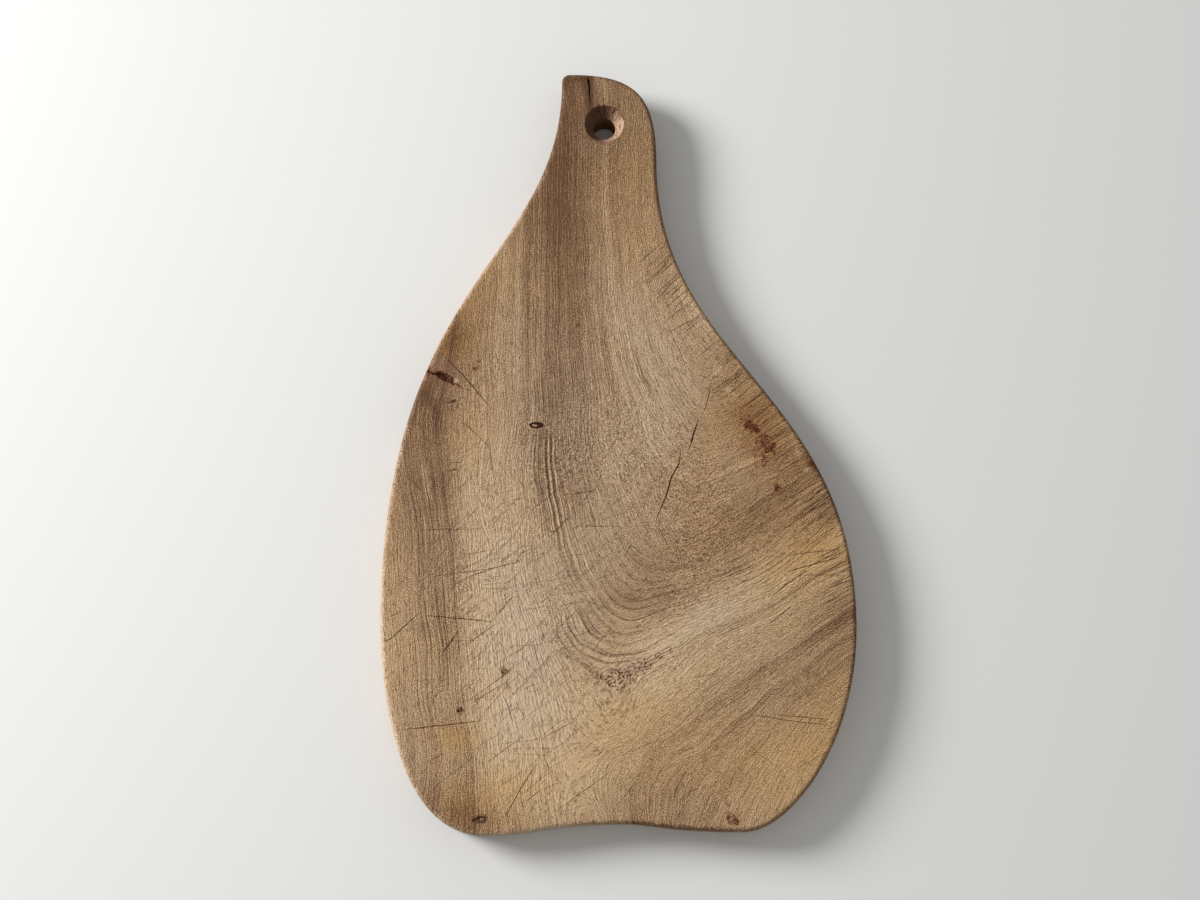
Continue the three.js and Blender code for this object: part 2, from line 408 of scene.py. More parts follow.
@dataclass
class Plan:
    """The plank's outline and hanging hole, read from the board in the frame.

    Attributes:
        node: Name of the board's node.
        wall_share: Height of a slice that only meets the walls, as a share of the thickness.
        step: Distance between points of the outline.
        touching: Distance below which a place counts as on the outline.
    """

    node: str = "board"
    wall_share: float = 0.25
    step: float = 1.3
    touching: float = 0.01

    def __post_init__(self) -> None:
        """Measures the board."""
        low, high = (np.array(corner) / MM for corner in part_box(self.node))
        self.thickness = float(high[2] - low[2])
        places = vertices(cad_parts[self.node])
        widest = places[:, 0] > high[0] - 0.01
        self.edge_round = float(places[widest, 2].min())
        loops = self._slice(self.thickness * self.wall_share)
        self.outline = np.clip(self._smooth(loops[0]), low[:2] + self.touching, high[:2] - self.touching)
        hole = loops[1]
        self.hole = hole.mean(0)
        self.bore = float(np.linalg.norm(hole - self.hole, axis=1).mean())
        reach = np.linalg.norm(places[:, :2] - self.hole, axis=1)
        rim = (places[:, 2] > self.thickness - 0.01) & (reach < 3 * self.bore)
        self.sink = float(reach[rim].min())
        bored = np.abs(reach - self.bore) < 0.05 * self.bore
        self.sink_depth = self.thickness - float(places[bored, 2].max())
        self.tree = kdtree.KDTree(len(self.outline))
        for index, (x, y) in enumerate(self.outline):
            self.tree.insert((x, y, 0.0), index)
        self.tree.balance()

    def _slice(self, height: float) -> list[Array]:
        """Cuts the board level and gives the loops of the cut, longest first.

        Args:
            height: Height of the cut above the back.

        Returns:
            The points of each closed loop, in order.
        """
        work = bmesh.new()
        work.from_mesh(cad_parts[self.node].data)
        bmesh.ops.remove_doubles(work, verts=work.verts, dist=0.001 * MM)
        everything = [*work.verts, *work.edges, *work.faces]
        bmesh.ops.bisect_plane(
            work, geom=everything, plane_co=(0, 0, height * MM), plane_no=(0, 0, 1), clear_inner=True, clear_outer=True
        )
        left = dict.fromkeys(work.verts)
        loops = []
        while left:
            loop = []
            onward = [next(iter(left))]
            while onward:
                loop.append(onward[0])
                del left[onward[0]]
                onward = [v for v in (e.other_vert(loop[-1]) for e in loop[-1].link_edges) if v in left]
            loops.append(np.array([(v.co.x, v.co.y) for v in loop]) / MM)
        work.free()
        return sorted(loops, key=len, reverse=True)

    def _smooth(self, loop: Array) -> Array:
        """Runs a smooth closed curve through a loop, counter-clockwise from the handle's sharp corner.

        Args:
            loop: Points of the loop.

        Returns:
            Points of the curve, one step apart.
        """
        following = np.roll(loop, -1, axis=0)
        if (loop[:, 0] * following[:, 1] - loop[:, 1] * following[:, 0]).sum() < 0:
            loop = loop[::-1]
        loop = np.roll(loop, -int((loop[:, 1] - loop[:, 0]).argmax()), axis=0)
        before, after, beyond = (np.roll(loop, n, axis=0) for n in (1, -1, -2))
        share = np.linspace(0.0, 1.0, 12, endpoint=False)[:, None, None]
        spans = [np.linalg.norm(b - a, axis=1) ** 0.5 for a, b in ((before, loop), (loop, after), (after, beyond))]
        t1, t2, t3 = (sum(spans[:n])[:, None] for n in (1, 2, 3))
        t = t1 + (t2 - t1) * share
        a1 = (t1 - t) / t1 * before + t / t1 * loop
        a2 = (t2 - t) / (t2 - t1) * loop + (t - t1) / (t2 - t1) * after
        a3 = (t3 - t) / (t3 - t2) * after + (t - t2) / (t3 - t2) * beyond
        b1 = (t2 - t) / t2 * a1 + t / t2 * a2
        b2 = (t3 - t) / (t3 - t1) * a2 + (t - t1) / (t3 - t1) * a3
        dense = ((t2 - t) / (t2 - t1) * b1 + (t - t1) / (t2 - t1) * b2).swapaxes(0, 1).reshape(-1, 2)
        closed = np.vstack([dense, dense[:1]])
        reach = np.concatenate([[0.0], np.cumsum(np.linalg.norm(np.diff(closed, axis=0), axis=1))])
        count = round(reach[-1] / self.step)
        stations = np.linspace(0.0, reach[-1], count, endpoint=False)
        return np.column_stack([np.interp(stations, reach, closed[:, axis]) for axis in (0, 1)])

    def inward(self) -> Array:
        """Unit vectors into the plank at the outline's points."""
        along = np.roll(self.outline, -1, axis=0) - np.roll(self.outline, 1, axis=0)
        along /= np.linalg.norm(along, axis=1)[:, None]
        return np.column_stack([-along[:, 1], along[:, 0]])

    def margin(self, points: Array) -> Array:
        """Distance of places from the outline.

        Args:
            points: Places in or on the plank.

        Returns:
            A distance in millimetres for each place.
        """
        flat = points[:, :2]
        nearest = np.array([self.tree.find((x, y, 0.0))[1] for x, y in flat])
        size = len(self.outline)
        gaps = []
        for start in (nearest - 1, nearest):
            a = self.outline[start % size]
            span = self.outline[(start + 1) % size] - a
            share = np.clip(((flat - a) * span).sum(1) / (span * span).sum(1), 0.0, 1.0)
            gaps.append(np.linalg.norm(flat - a - share[:, None] * span, axis=1))
        nearest_gap = np.minimum(*gaps)
        return np.where(nearest_gap < self.touching, 0.0, nearest_gap)


def within(points: Array, loop: Array) -> Array:
    """Tells which places lie inside a closed loop.

    Args:
        points: Places to test.
        loop: Points of the loop.

    Returns:
        True for each place inside.
    """
    inside = np.zeros(len(points), bool)
    for (ax, ay), (bx, by) in zip(loop, np.roll(loop, -1, axis=0)):
        if ay != by:
            crosses = (points[:, 1] < ay) != (points[:, 1] < by)
            inside ^= crosses & (points[:, 0] < ax + (points[:, 1] - ay) * (bx - ax) / (by - ay))
    return inside


class Cut(Enum):
    """Kinds of mark in the face: width and depth in millimetres, and how dark it has grown."""

    HAIRLINE = (0.34, 0.13, 0.66)
    SCORE = (0.50, 0.26, 0.85)
    SLASH = (0.66, 0.40, 1.00)
    CRACK = (0.76, 2.50, 1.00)

    @property
    def width(self) -> float:
        """Width between the lips."""
        return self.value[0]

    @property
    def depth(self) -> float:
        """Depth at the bottom."""
        return self.value[1]

    @property
    def stain(self) -> float:
        """How dark the bottom is, from 0 to 1."""
        return self.value[2]


@dataclass
class Mark:
    """One mark: stations along it, and its half width, depth and stain there."""

    stations: Array
    half: Array
    deep: Array
    stain: float

    @classmethod
    def along(cls, cut: Cut, course: Course, step: float, wander: float, layer: float) -> "Mark":
        """Lays a mark along a course, thinning out to nothing at both ends.

        Args:
            cut: Kind of mark.
            course: Points that it runs through.
            step: Distance between stations.
            wander: How far it strays from the course.
            layer: Picks the pattern of its straying.

        Returns:
            The mark.
        """
        corners = np.array(course, float)
        reach = np.concatenate([[0.0], np.cumsum(np.linalg.norm(np.diff(corners, axis=0), axis=1))])
        count = max(4, round(reach[-1] / step) + 1)
        places = np.linspace(0.0, reach[-1], count)
        stations = np.column_stack([np.interp(places, reach, corners[:, axis]) for axis in (0, 1)])
        stray = ripple(np.column_stack([places, np.full(count, layer)]), 6.0, layer)
        taper = np.sin(np.pi * np.linspace(0.0, 1.0, count)) ** 0.5
        across = np.array([-(corners[-1] - corners[0])[1], (corners[-1] - corners[0])[0]]) / reach[-1]
        stations += across * (stray * wander * taper)[:, None]
        swell = 1.0 + 0.35 * ripple(np.column_stack([places, np.full(count, layer)]), 3.0, layer + 1.0)
        return cls(stations, 0.5 * cut.width * taper * swell, cut.depth * taper, cut.stain)

    def lips(self) -> tuple[Array, Array]:
        """The two lips of the mark, without its tips."""
        run = np.gradient(self.stations, axis=0)
        run /= np.linalg.norm(run, axis=1)[:, None]
        side = np.column_stack([-run[:, 1], run[:, 0]]) * self.half[:, None]
        return (self.stations + side)[1:-1], (self.stations - side)[1:-1]

    def sunk(self, points: Array) -> tuple[Array, Array]:
        """Depth and darkness of the mark at places near it.

        Args:
            points: Places on the face.

        Returns:
            The depth in millimetres and the stain from 0 to 1 at each place.
        """
        depth = np.zeros(len(points))
        share = np.zeros(len(points))
        for i in range(len(self.stations) - 1):
            a = self.stations[i]
            span = self.stations[i + 1] - a
            t = np.clip(((points - a) @ span) / (span @ span), 0.0, 1.0)
            gap = np.linalg.norm(points - a - t[:, None] * span, axis=1)
            half = np.maximum(self.half[i] + t * (self.half[i + 1] - self.half[i]), 1e-6)
            here = np.clip(1.0 - gap / half, 0.0, 1.0)
            share = np.maximum(share, here * np.minimum(1.0, 2.0 * half / self.half.max()))
            depth = np.maximum(depth, here * (self.deep[i] + t * (self.deep[i + 1] - self.deep[i])))
        return depth, share * self.stain


CRACKS: tuple[Course, ...] = (
    ((41.1, 8.4), (39.5, 1.6), (37.9, -3.7), (35.8, -9.5)),
    ((32.6, -8.1), (30.8, -15.9), (26.7, -24.2), (24.9, -31.3), (22.5, -37.8), (19.9, -42.6), (19.3, -46.0)),
)
SLASHES: tuple[Course, ...] = (
    ((48.6, 27.9), (46.3, 17.9), (43.2, 8.4)),
    ((-97.0, -93.5), (-60.5, -97.0)),
    ((-113.0, -106.0), (-98.5, -92.0)),
    ((-106.5, -150.0), (-67.0, -145.5)),
    ((-55.5, -193.0), (-47.5, -178.0), (-38.5, -164.5)),
    ((-88.0, -114.0), (-78.5, -101.0)),
    ((-91.0, 42.5), (-78.0, 29.0), (-63.5, 11.0)),
    ((-89.0, 15.4), (-82.0, 17.3)),
    ((-87.0, -20.2), (-80.0, -18.6)),
    ((75.0, -85.5), (84.0, -78.0), (95.0, -70.5)),
    ((74.5, -98.0), (87.5, -88.0)),
    ((82.0, -72.5), (112.0, -64.0)),
)
SCORES: tuple[Course, ...] = (
    ((-79.5, 6.0), (-68.0, -4.5)),
    ((-64.5, -166.0), (-46.0, -152.5)),
    ((-31.5, -189.5), (-1.0, -168.0)),
    ((-46.0, -185.0), (-36.5, -177.5)),
    ((-39.0, -155.0), (-20.5, -145.0)),
    ((60.0, -141.5), (80.0, -145.0), (105.0, -148.0)),
    ((76.0, -142.5), (104.0, -145.0)),
    ((23.0, 58.0), (39.0, 71.5)),
    ((25.0, 53.0), (43.5, 63.0)),
    ((10.5, 91.0), (24.5, 104.0)),
    ((84.0, -63.5), (113.0, -60.0)),
    ((90.0, -73.5), (113.5, -73.5)),
    ((57.5, -80.0), (67.0, -73.5)),
    ((-114.0, -95.0), (-107.0, -91.0)),
    ((-116.0, -107.5), (-110.0, -103.5)),
    ((-95.0, -74.5), (-84.0, -73.0), (-65.5, -70.5), (-45.5, -66.0)),
    ((-85.0, -80.0), (-74.0, -74.0), (-53.0, -67.0)),
    ((-60.0, -94.0), (-51.5, -83.0)),
    ((-74.7, -136.4), (-62.0, -127.5), (-49.5, -118.0)),
    ((-74.7, -138.6), (-52.9, -125.2)),
    ((-76.4, -109.5), (-59.0, -96.7)),
    ((-57.4, -131.9), (-53.5, -139.0), (-51.8, -146.5)),
    ((-42.8, -105.0), (-39.5, -117.0), (-36.0, -128.6)),
    ((-20.0, -48.5), (1.8, -48.5)),
    ((-23.0, -32.0), (-11.0, -30.0)),
    ((2.4, -65.0), (6.5, -58.0), (14.2, -64.5)),
    ((-36.0, -52.0), (-29.6, -50.3)),
    ((19.6, -46.7), (26.0, -61.0)),
    ((-45.0, -41.4), (-36.7, -34.9), (-26.0, -25.0)),
    ((-99.5, -50.4), (-84.0, -50.2), (-67.4, -50.0)),
    ((-108.7, -20.8), (-95.8, -33.3)),
    ((-95.3, -24.2), (-89.0, -29.6)),
    ((-87.0, -15.8), (-77.8, -15.4)),
    ((-72.8, 0.0), (-65.3, -7.5), (-62.8, -23.3)),
    ((-76.0, -45.4), (-70.0, -38.0)),
    ((9.0, -119.6), (16.0, -116.0), (23.0, -112.0), (30.0, -108.6)),
)


@dataclass(frozen=True)
class Pit:
    """A small dark hollow in the face: middle, radius and depth in millimetres."""

    middle: Point
    radius: float
    depth: float


PITS: tuple[Pit, ...] = (
    Pit((-20.5, 57.5), 0.9, 0.5),
    Pit((-78.4, -140.6), 1.1, 0.6),
    Pit((-76.9, -139.4), 0.9, 0.5),
    Pit((-56.8, -121.8), 1.2, 0.5),
    Pit((-55.0, -120.9), 1.0, 0.4),
    Pit((-64.0, -76.5), 0.7, 0.3),
    Pit((53.0, -192.0), 1.1, 0.6),
    Pit((57.5, -193.5), 1.2, 0.6),
    Pit((55.4, -191.0), 0.7, 0.4),
    Pit((46.0, -187.0), 0.6, 0.3),
    Pit((52.5, -185.5), 0.5, 0.3),
    Pit((14.0, -75.0), 0.8, 0.3),
    Pit((-21.5, -144.5), 0.5, 0.3),
    Pit((-59.0, 67.5), 0.6, 0.3),
    Pit((-73.2, 34.2), 1.2, 0.3),
    Pit((-71.2, 37.9), 0.7, 0.2),
    Pit((38.1, -3.5), 0.9, 0.6),
)


@dataclass
class KnifeWork:
    """Everything that blades, drying and time have cut into one side of the plank.

    Attributes:
        keep_off: Middle and radius of places that no mark may touch.
        known: Kinds of mark, how far they stray and the courses that they follow.
        pits: Small dark hollows.
        step: Distance between stations along a mark.
        hairlines: Number of fine scars strewn over the belly.
        edge_cuts: Number of short cuts that run out to the right flank.
        seed: Seeds the strewn marks.
    """

    plan: Plan
    keep_off: Sequence[tuple[Point, float]]
    known: Sequence[tuple[Cut, float, Sequence[Course]]] = ()
    pits: Sequence[Pit] = ()
    step: float = 2.0
    hairlines: int = 380
    edge_cuts: int = 130
    belly: Point = (-8.0, -70.0)
    strewn: Point = (-44.0, -98.0)
    strewn_spread: Point = (38.0, 52.0)
    seed: int = 11

    def __post_init__(self) -> None:
        """Lays out every mark."""
        self.marks: list[Mark] = []
        chance = np.random.default_rng(self.seed)
        for kind, wander, courses in self.known:
            for course in courses:
                self._lay(kind, course, wander)
        for _ in range(self.hairlines):
            self._lay(Cut.HAIRLINE, self._strewn(chance), 0.15)
        for _ in range(self.edge_cuts):
            self._lay(Cut.SCORE if chance.random() < 0.4 else Cut.HAIRLINE, self._flank_cut(chance), 0.1)

    def _lay(self, cut: Cut, course: Course, wander: float) -> None:
        """Adds a mark if all of it lies on the face.

        Args:
            cut: Kind of mark.
            course: Points that it runs through.
            wander: How far it strays.
        """
        mark = Mark.along(cut, course, self.step, wander, 0.37 * len(self.marks))
        clear = self.plan.margin(mark.stations).min() > 0.6 * cut.width
        for middle, radius in self.keep_off:
            clear &= np.linalg.norm(mark.stations - middle, axis=1).min() > radius
        if clear and within(mark.stations, self.plan.outline).all():
            self.marks.append(mark)

    def _strewn(self, chance: np.random.Generator) -> Course:
        """Picks a fine scar somewhere on the belly.

        Args:
            chance: Source of random numbers.

        Returns:
            Its two ends.
        """
        lean = chance.choice([40.0, 8.0, -38.0], p=[0.66, 0.2, 0.14])
        angle = math.radians(chance.normal(lean, 9.0))
        length = float(np.clip(chance.lognormal(2.6, 0.5), 5.0, 42.0))
        x, y = chance.normal(self.strewn, self.strewn_spread)
        dx, dy = 0.5 * length * math.cos(angle), 0.5 * length * math.sin(angle)
        return ((x - dx, y - dy), (x + dx, y + dy))

    def _flank_cut(self, chance: np.random.Generator) -> Course:
        """Picks a short cut that runs up and out to the right flank.

        Args:
            chance: Source of random numbers.

        Returns:
            Its two ends.
        """
        right = (self.plan.outline[:, 0] > 15.0) & (np.abs(self.plan.outline[:, 1] - 5.0) < 100.0)
        flank = self.plan.outline[right]
        end = flank[chance.integers(len(flank))]
        lean = np.clip(34.0 + 0.16 * end[1], 26.0, 44.0)
        angle = math.radians(chance.normal(lean, 4.0))
        run = np.array([math.cos(angle), math.sin(angle)])
        outer = end - run * chance.uniform(0.8, 2.0)
        inner = outer - run * chance.uniform(6.0, 22.0)
        return (tuple(outer), tuple(inner))

    def sunk(self, points: Array) -> tuple[Array, Array]:
        """Depth and darkness of all marks and pits.

        Args:
            points: Places on the face.

        Returns:
            The depth in millimetres and the stain from 0 to 1 at each place.
        """
        flat = points[:, :2]
        depth = np.zeros(len(flat))
        stain = np.zeros(len(flat))
        for mark in self.marks:
            low = mark.stations.min(0) - 1.0
            high = mark.stations.max(0) + 1.0
            near = np.flatnonzero(((flat > low) & (flat < high)).all(1))
            if len(near):
                deep, dark = mark.sunk(flat[near])
                depth[near] = np.maximum(depth[near], deep)
                stain[near] = np.maximum(stain[near], dark)
        for pit in self.pits:
            near = np.flatnonzero(np.linalg.norm(flat - pit.middle, axis=1) < 2.0 * pit.radius)
            gap = np.linalg.norm(flat[near] - pit.middle, axis=1) / pit.radius + 0.35 * ripple(flat[near], 0.8, 7.0)
            depth[near] = np.maximum(depth[near], pit.depth * (1.0 - rise(gap, 0.2, 1.0)))
            stain[near] = np.maximum(stain[near], 0.75 * (1.0 - rise(gap, 0.1, 1.0)))
        return depth, stain


@dataclass(frozen=True)
class GrainLine:
    """One grain line of the figure: its growth level and the points that it runs through."""

    level: float
    course: Course


@dataclass
class CrotchFigure:
    """The growth of the wood round a forked stem: every grain line is a line of equal growth.

    The stem's lines come down the left side and the handle. Those between stem and branch turn in a U and leave
    through the right flank, and those below the branch rise from the foot to the right.

    Attributes:
        lines: Grain lines that the growth passes through.
        dive: How fast the growth changes through the thickness.
        wobble: Straying of the lines, in millimetres of growth.
    """

    thickness: float
    dive: float = 0.42
    wobble: Point = (0.9, 0.35)
    lines: tuple[GrainLine, ...] = (
        GrainLine(66, ((15, 165), (15, 110), (20, 80), (30, 49), (42, 28), (52, 23), (70, 32))),
        GrainLine(54, ((5, 165), (6, 100), (14, 50), (28, 14), (42, -2), (58, 1), (80, 14))),
        GrainLine(42, ((-6, 165), (-4, 100), (1, 50), (12, 12), (27, -18), (44, -26), (66, -16), (90, -3))),
        GrainLine(30, ((-17, 165), (-15, 100), (-13, 50), (-7, -4), (7, -42), (26, -59), (52, -48), (102, -19))),
        GrainLine(18, ((-28, 165), (-28, 100), (-27, 40), (-22, -20), (-10, -62), (8, -85), (33, -79), (110, -33))),
        GrainLine(8, ((-38, 140), (-38, 60), (-37, 0), (-31, -52), (-17, -88), (3, -104), (26, -95), (115, -44))),
        GrainLine(0, ((-46, 120), (-46, 50), (-47, -20), (-41, -68), (-28, -104), (-12, -120), (8, -119), (118, -61))),
        GrainLine(-11, ((-57, 90), (-56, 10), (-54, -50), (-45, -98), (-33, -145), (-26, -192))),
        GrainLine(-10, ((-9, -192), (7, -152), (32, -126), (80, -95), (118, -74))),
        GrainLine(-22, ((-70, 50), (-69, 0), (-65, -60), (-58, -120), (-49, -175), (-46, -195))),
        GrainLine(-23, ((-2, -192), (20, -148), (52, -122), (118, -82))),
        GrainLine(-36, ((-84, 58), (-92, 5), (-86, -40), (-81, -90), (-75, -140), (-70, -195))),
        GrainLine(-36, ((5, -180), (20, -157), (46, -138), (72, -120), (92, -107), (118, -90))),
        GrainLine(-50, ((-104, -30), (-98, -85), (-92, -135), (-89, -185))),
        GrainLine(-50, ((26, -184), (45, -161), (66, -141), (94, -119.5), (118, -103))),
        GrainLine(-62, ((-114, -50), (-107, -110), (-101, -160))),
        GrainLine(-62, ((42, -194), (60, -164), (88, -134), (118, -112))),
        GrainLine(-80, ((70, -192), (90, -160), (108, -140))),
    )

    def __post_init__(self) -> None:
        """Fits a thin plate through the grain lines."""
        self.knots = np.array([point for line in self.lines for point in line.course], float)
        levels = [line.level for line in self.lines for _ in line.course]
        flat = np.column_stack([np.ones(len(self.knots)), self.knots])
        bend = self._bend(self.knots) + np.eye(len(self.knots))
        system = np.block([[bend, flat], [flat.T, np.zeros((3, 3))]])
        self.weights = np.linalg.solve(system, np.concatenate([levels, np.zeros(3)]))

    def _bend(self, points: Array) -> Array:
        """The thin plate's bending between places and the points of the lines."""
        reach = np.linalg.norm(points[:, None] - self.knots[None], axis=2)
        return reach ** 2 * np.log(np.maximum(reach, 1e-6))

    def growth(self, points: Array) -> Array:
        """Growth level at places in the plank.

        Args:
            points: Places, in millimetres.

        Returns:
            A level for each place, in millimetres of growth.
        """
        flat = points[:, :2]
        level = np.empty(len(flat))
        for start in range(0, len(flat), 8192):
            part = flat[start:start + 8192]
            plain = np.column_stack([np.ones(len(part)), part])
            level[start:start + 8192] = np.hstack([self._bend(part), plain]) @ self.weights
        level += self.dive * (self.thickness - points[:, 2])
        return level + self.wobble[0] * ripple(points, 24.0, 1.0) + self.wobble[1] * ripple(points, 7.0, 2.0)


@dataclass(frozen=True)
class Patch:
    """A soft oval on the face.

    Attributes:
        middle: Its middle.
        reach: Half its length along and across.
        turn: Lean of its length from +X, in degrees.
    """

    middle: Point
    reach: Point
    turn: float

    def spans(self, points: Array) -> Array:
        """Places along and across the oval, as shares of its reach."""
        angle = math.radians(self.turn)
        away = points[:, :2] - self.middle
        along = away @ (math.cos(angle), math.sin(angle)) / self.reach[0]
        across = away @ (-math.sin(angle), math.cos(angle)) / self.reach[1]
        return np.column_stack([along, across])

    def weight(self, points: Array) -> Array:
        """How much of the patch lies at each place, 0 to 1."""
        return np.exp(-0.7 * (self.spans(points) ** 2).sum(1))


@dataclass(frozen=True)
class Zone(Patch):
    """A part of the face with detail that needs a finer mesh, with points spacing millimetres apart."""

    spacing: float = 0.65

    def covers(self, points: Array) -> Array:
        """Tells which places lie in the zone."""
        return (self.spans(points) ** 2).sum(1) < 1.0


ZONES: tuple[Zone, ...] = (
    Zone((-91.0, 31.0), (18.0, 12.0), -25.0),
    Zone((72.0, -5.0), (19.0, 13.0), -55.0),
    Zone((95.0, -14.0), (10.0, 5.0), -60.0),
    Zone((7.0, -119.5), (25.0, 8.0), 25.0),
    Zone((-15.2, 190.0), (11.0, 4.0), -86.0, 0.5),
    Zone((-24.0, 195.0), (8.0, 4.0), 0.0),
    Zone((54.5, -190.5), (10.0, 6.0), -20.0),
    Zone((-77.5, -140.0), (4.5, 4.0), 0.0),
    Zone((-55.5, -123.5), (5.0, 7.5), 0.0),
    Zone((-84.0, 16.8), (4.0, 2.5), 15.0),
    Zone((-82.8, -19.0), (3.5, 2.0), 10.0),
)


@dataclass(frozen=True)
class Wash(Patch):
    """A soft patch of colour and texture in the wood.

    Attributes:
        shade: How much darker it is, or paler if negative.
        warm: How much more ochre it is, or greyer if negative.
        calm: How much fainter the grain is.
        lined: How strongly single lines stand out.
        rough: How much deeper the relief is.
        blush: How pinkish brown it is.
    """

    shade: float = 0.0
    warm: float = 0.0
    calm: float = 0.0
    lined: float = 0.0
    rough: float = 0.0
    blush: float = 0.0


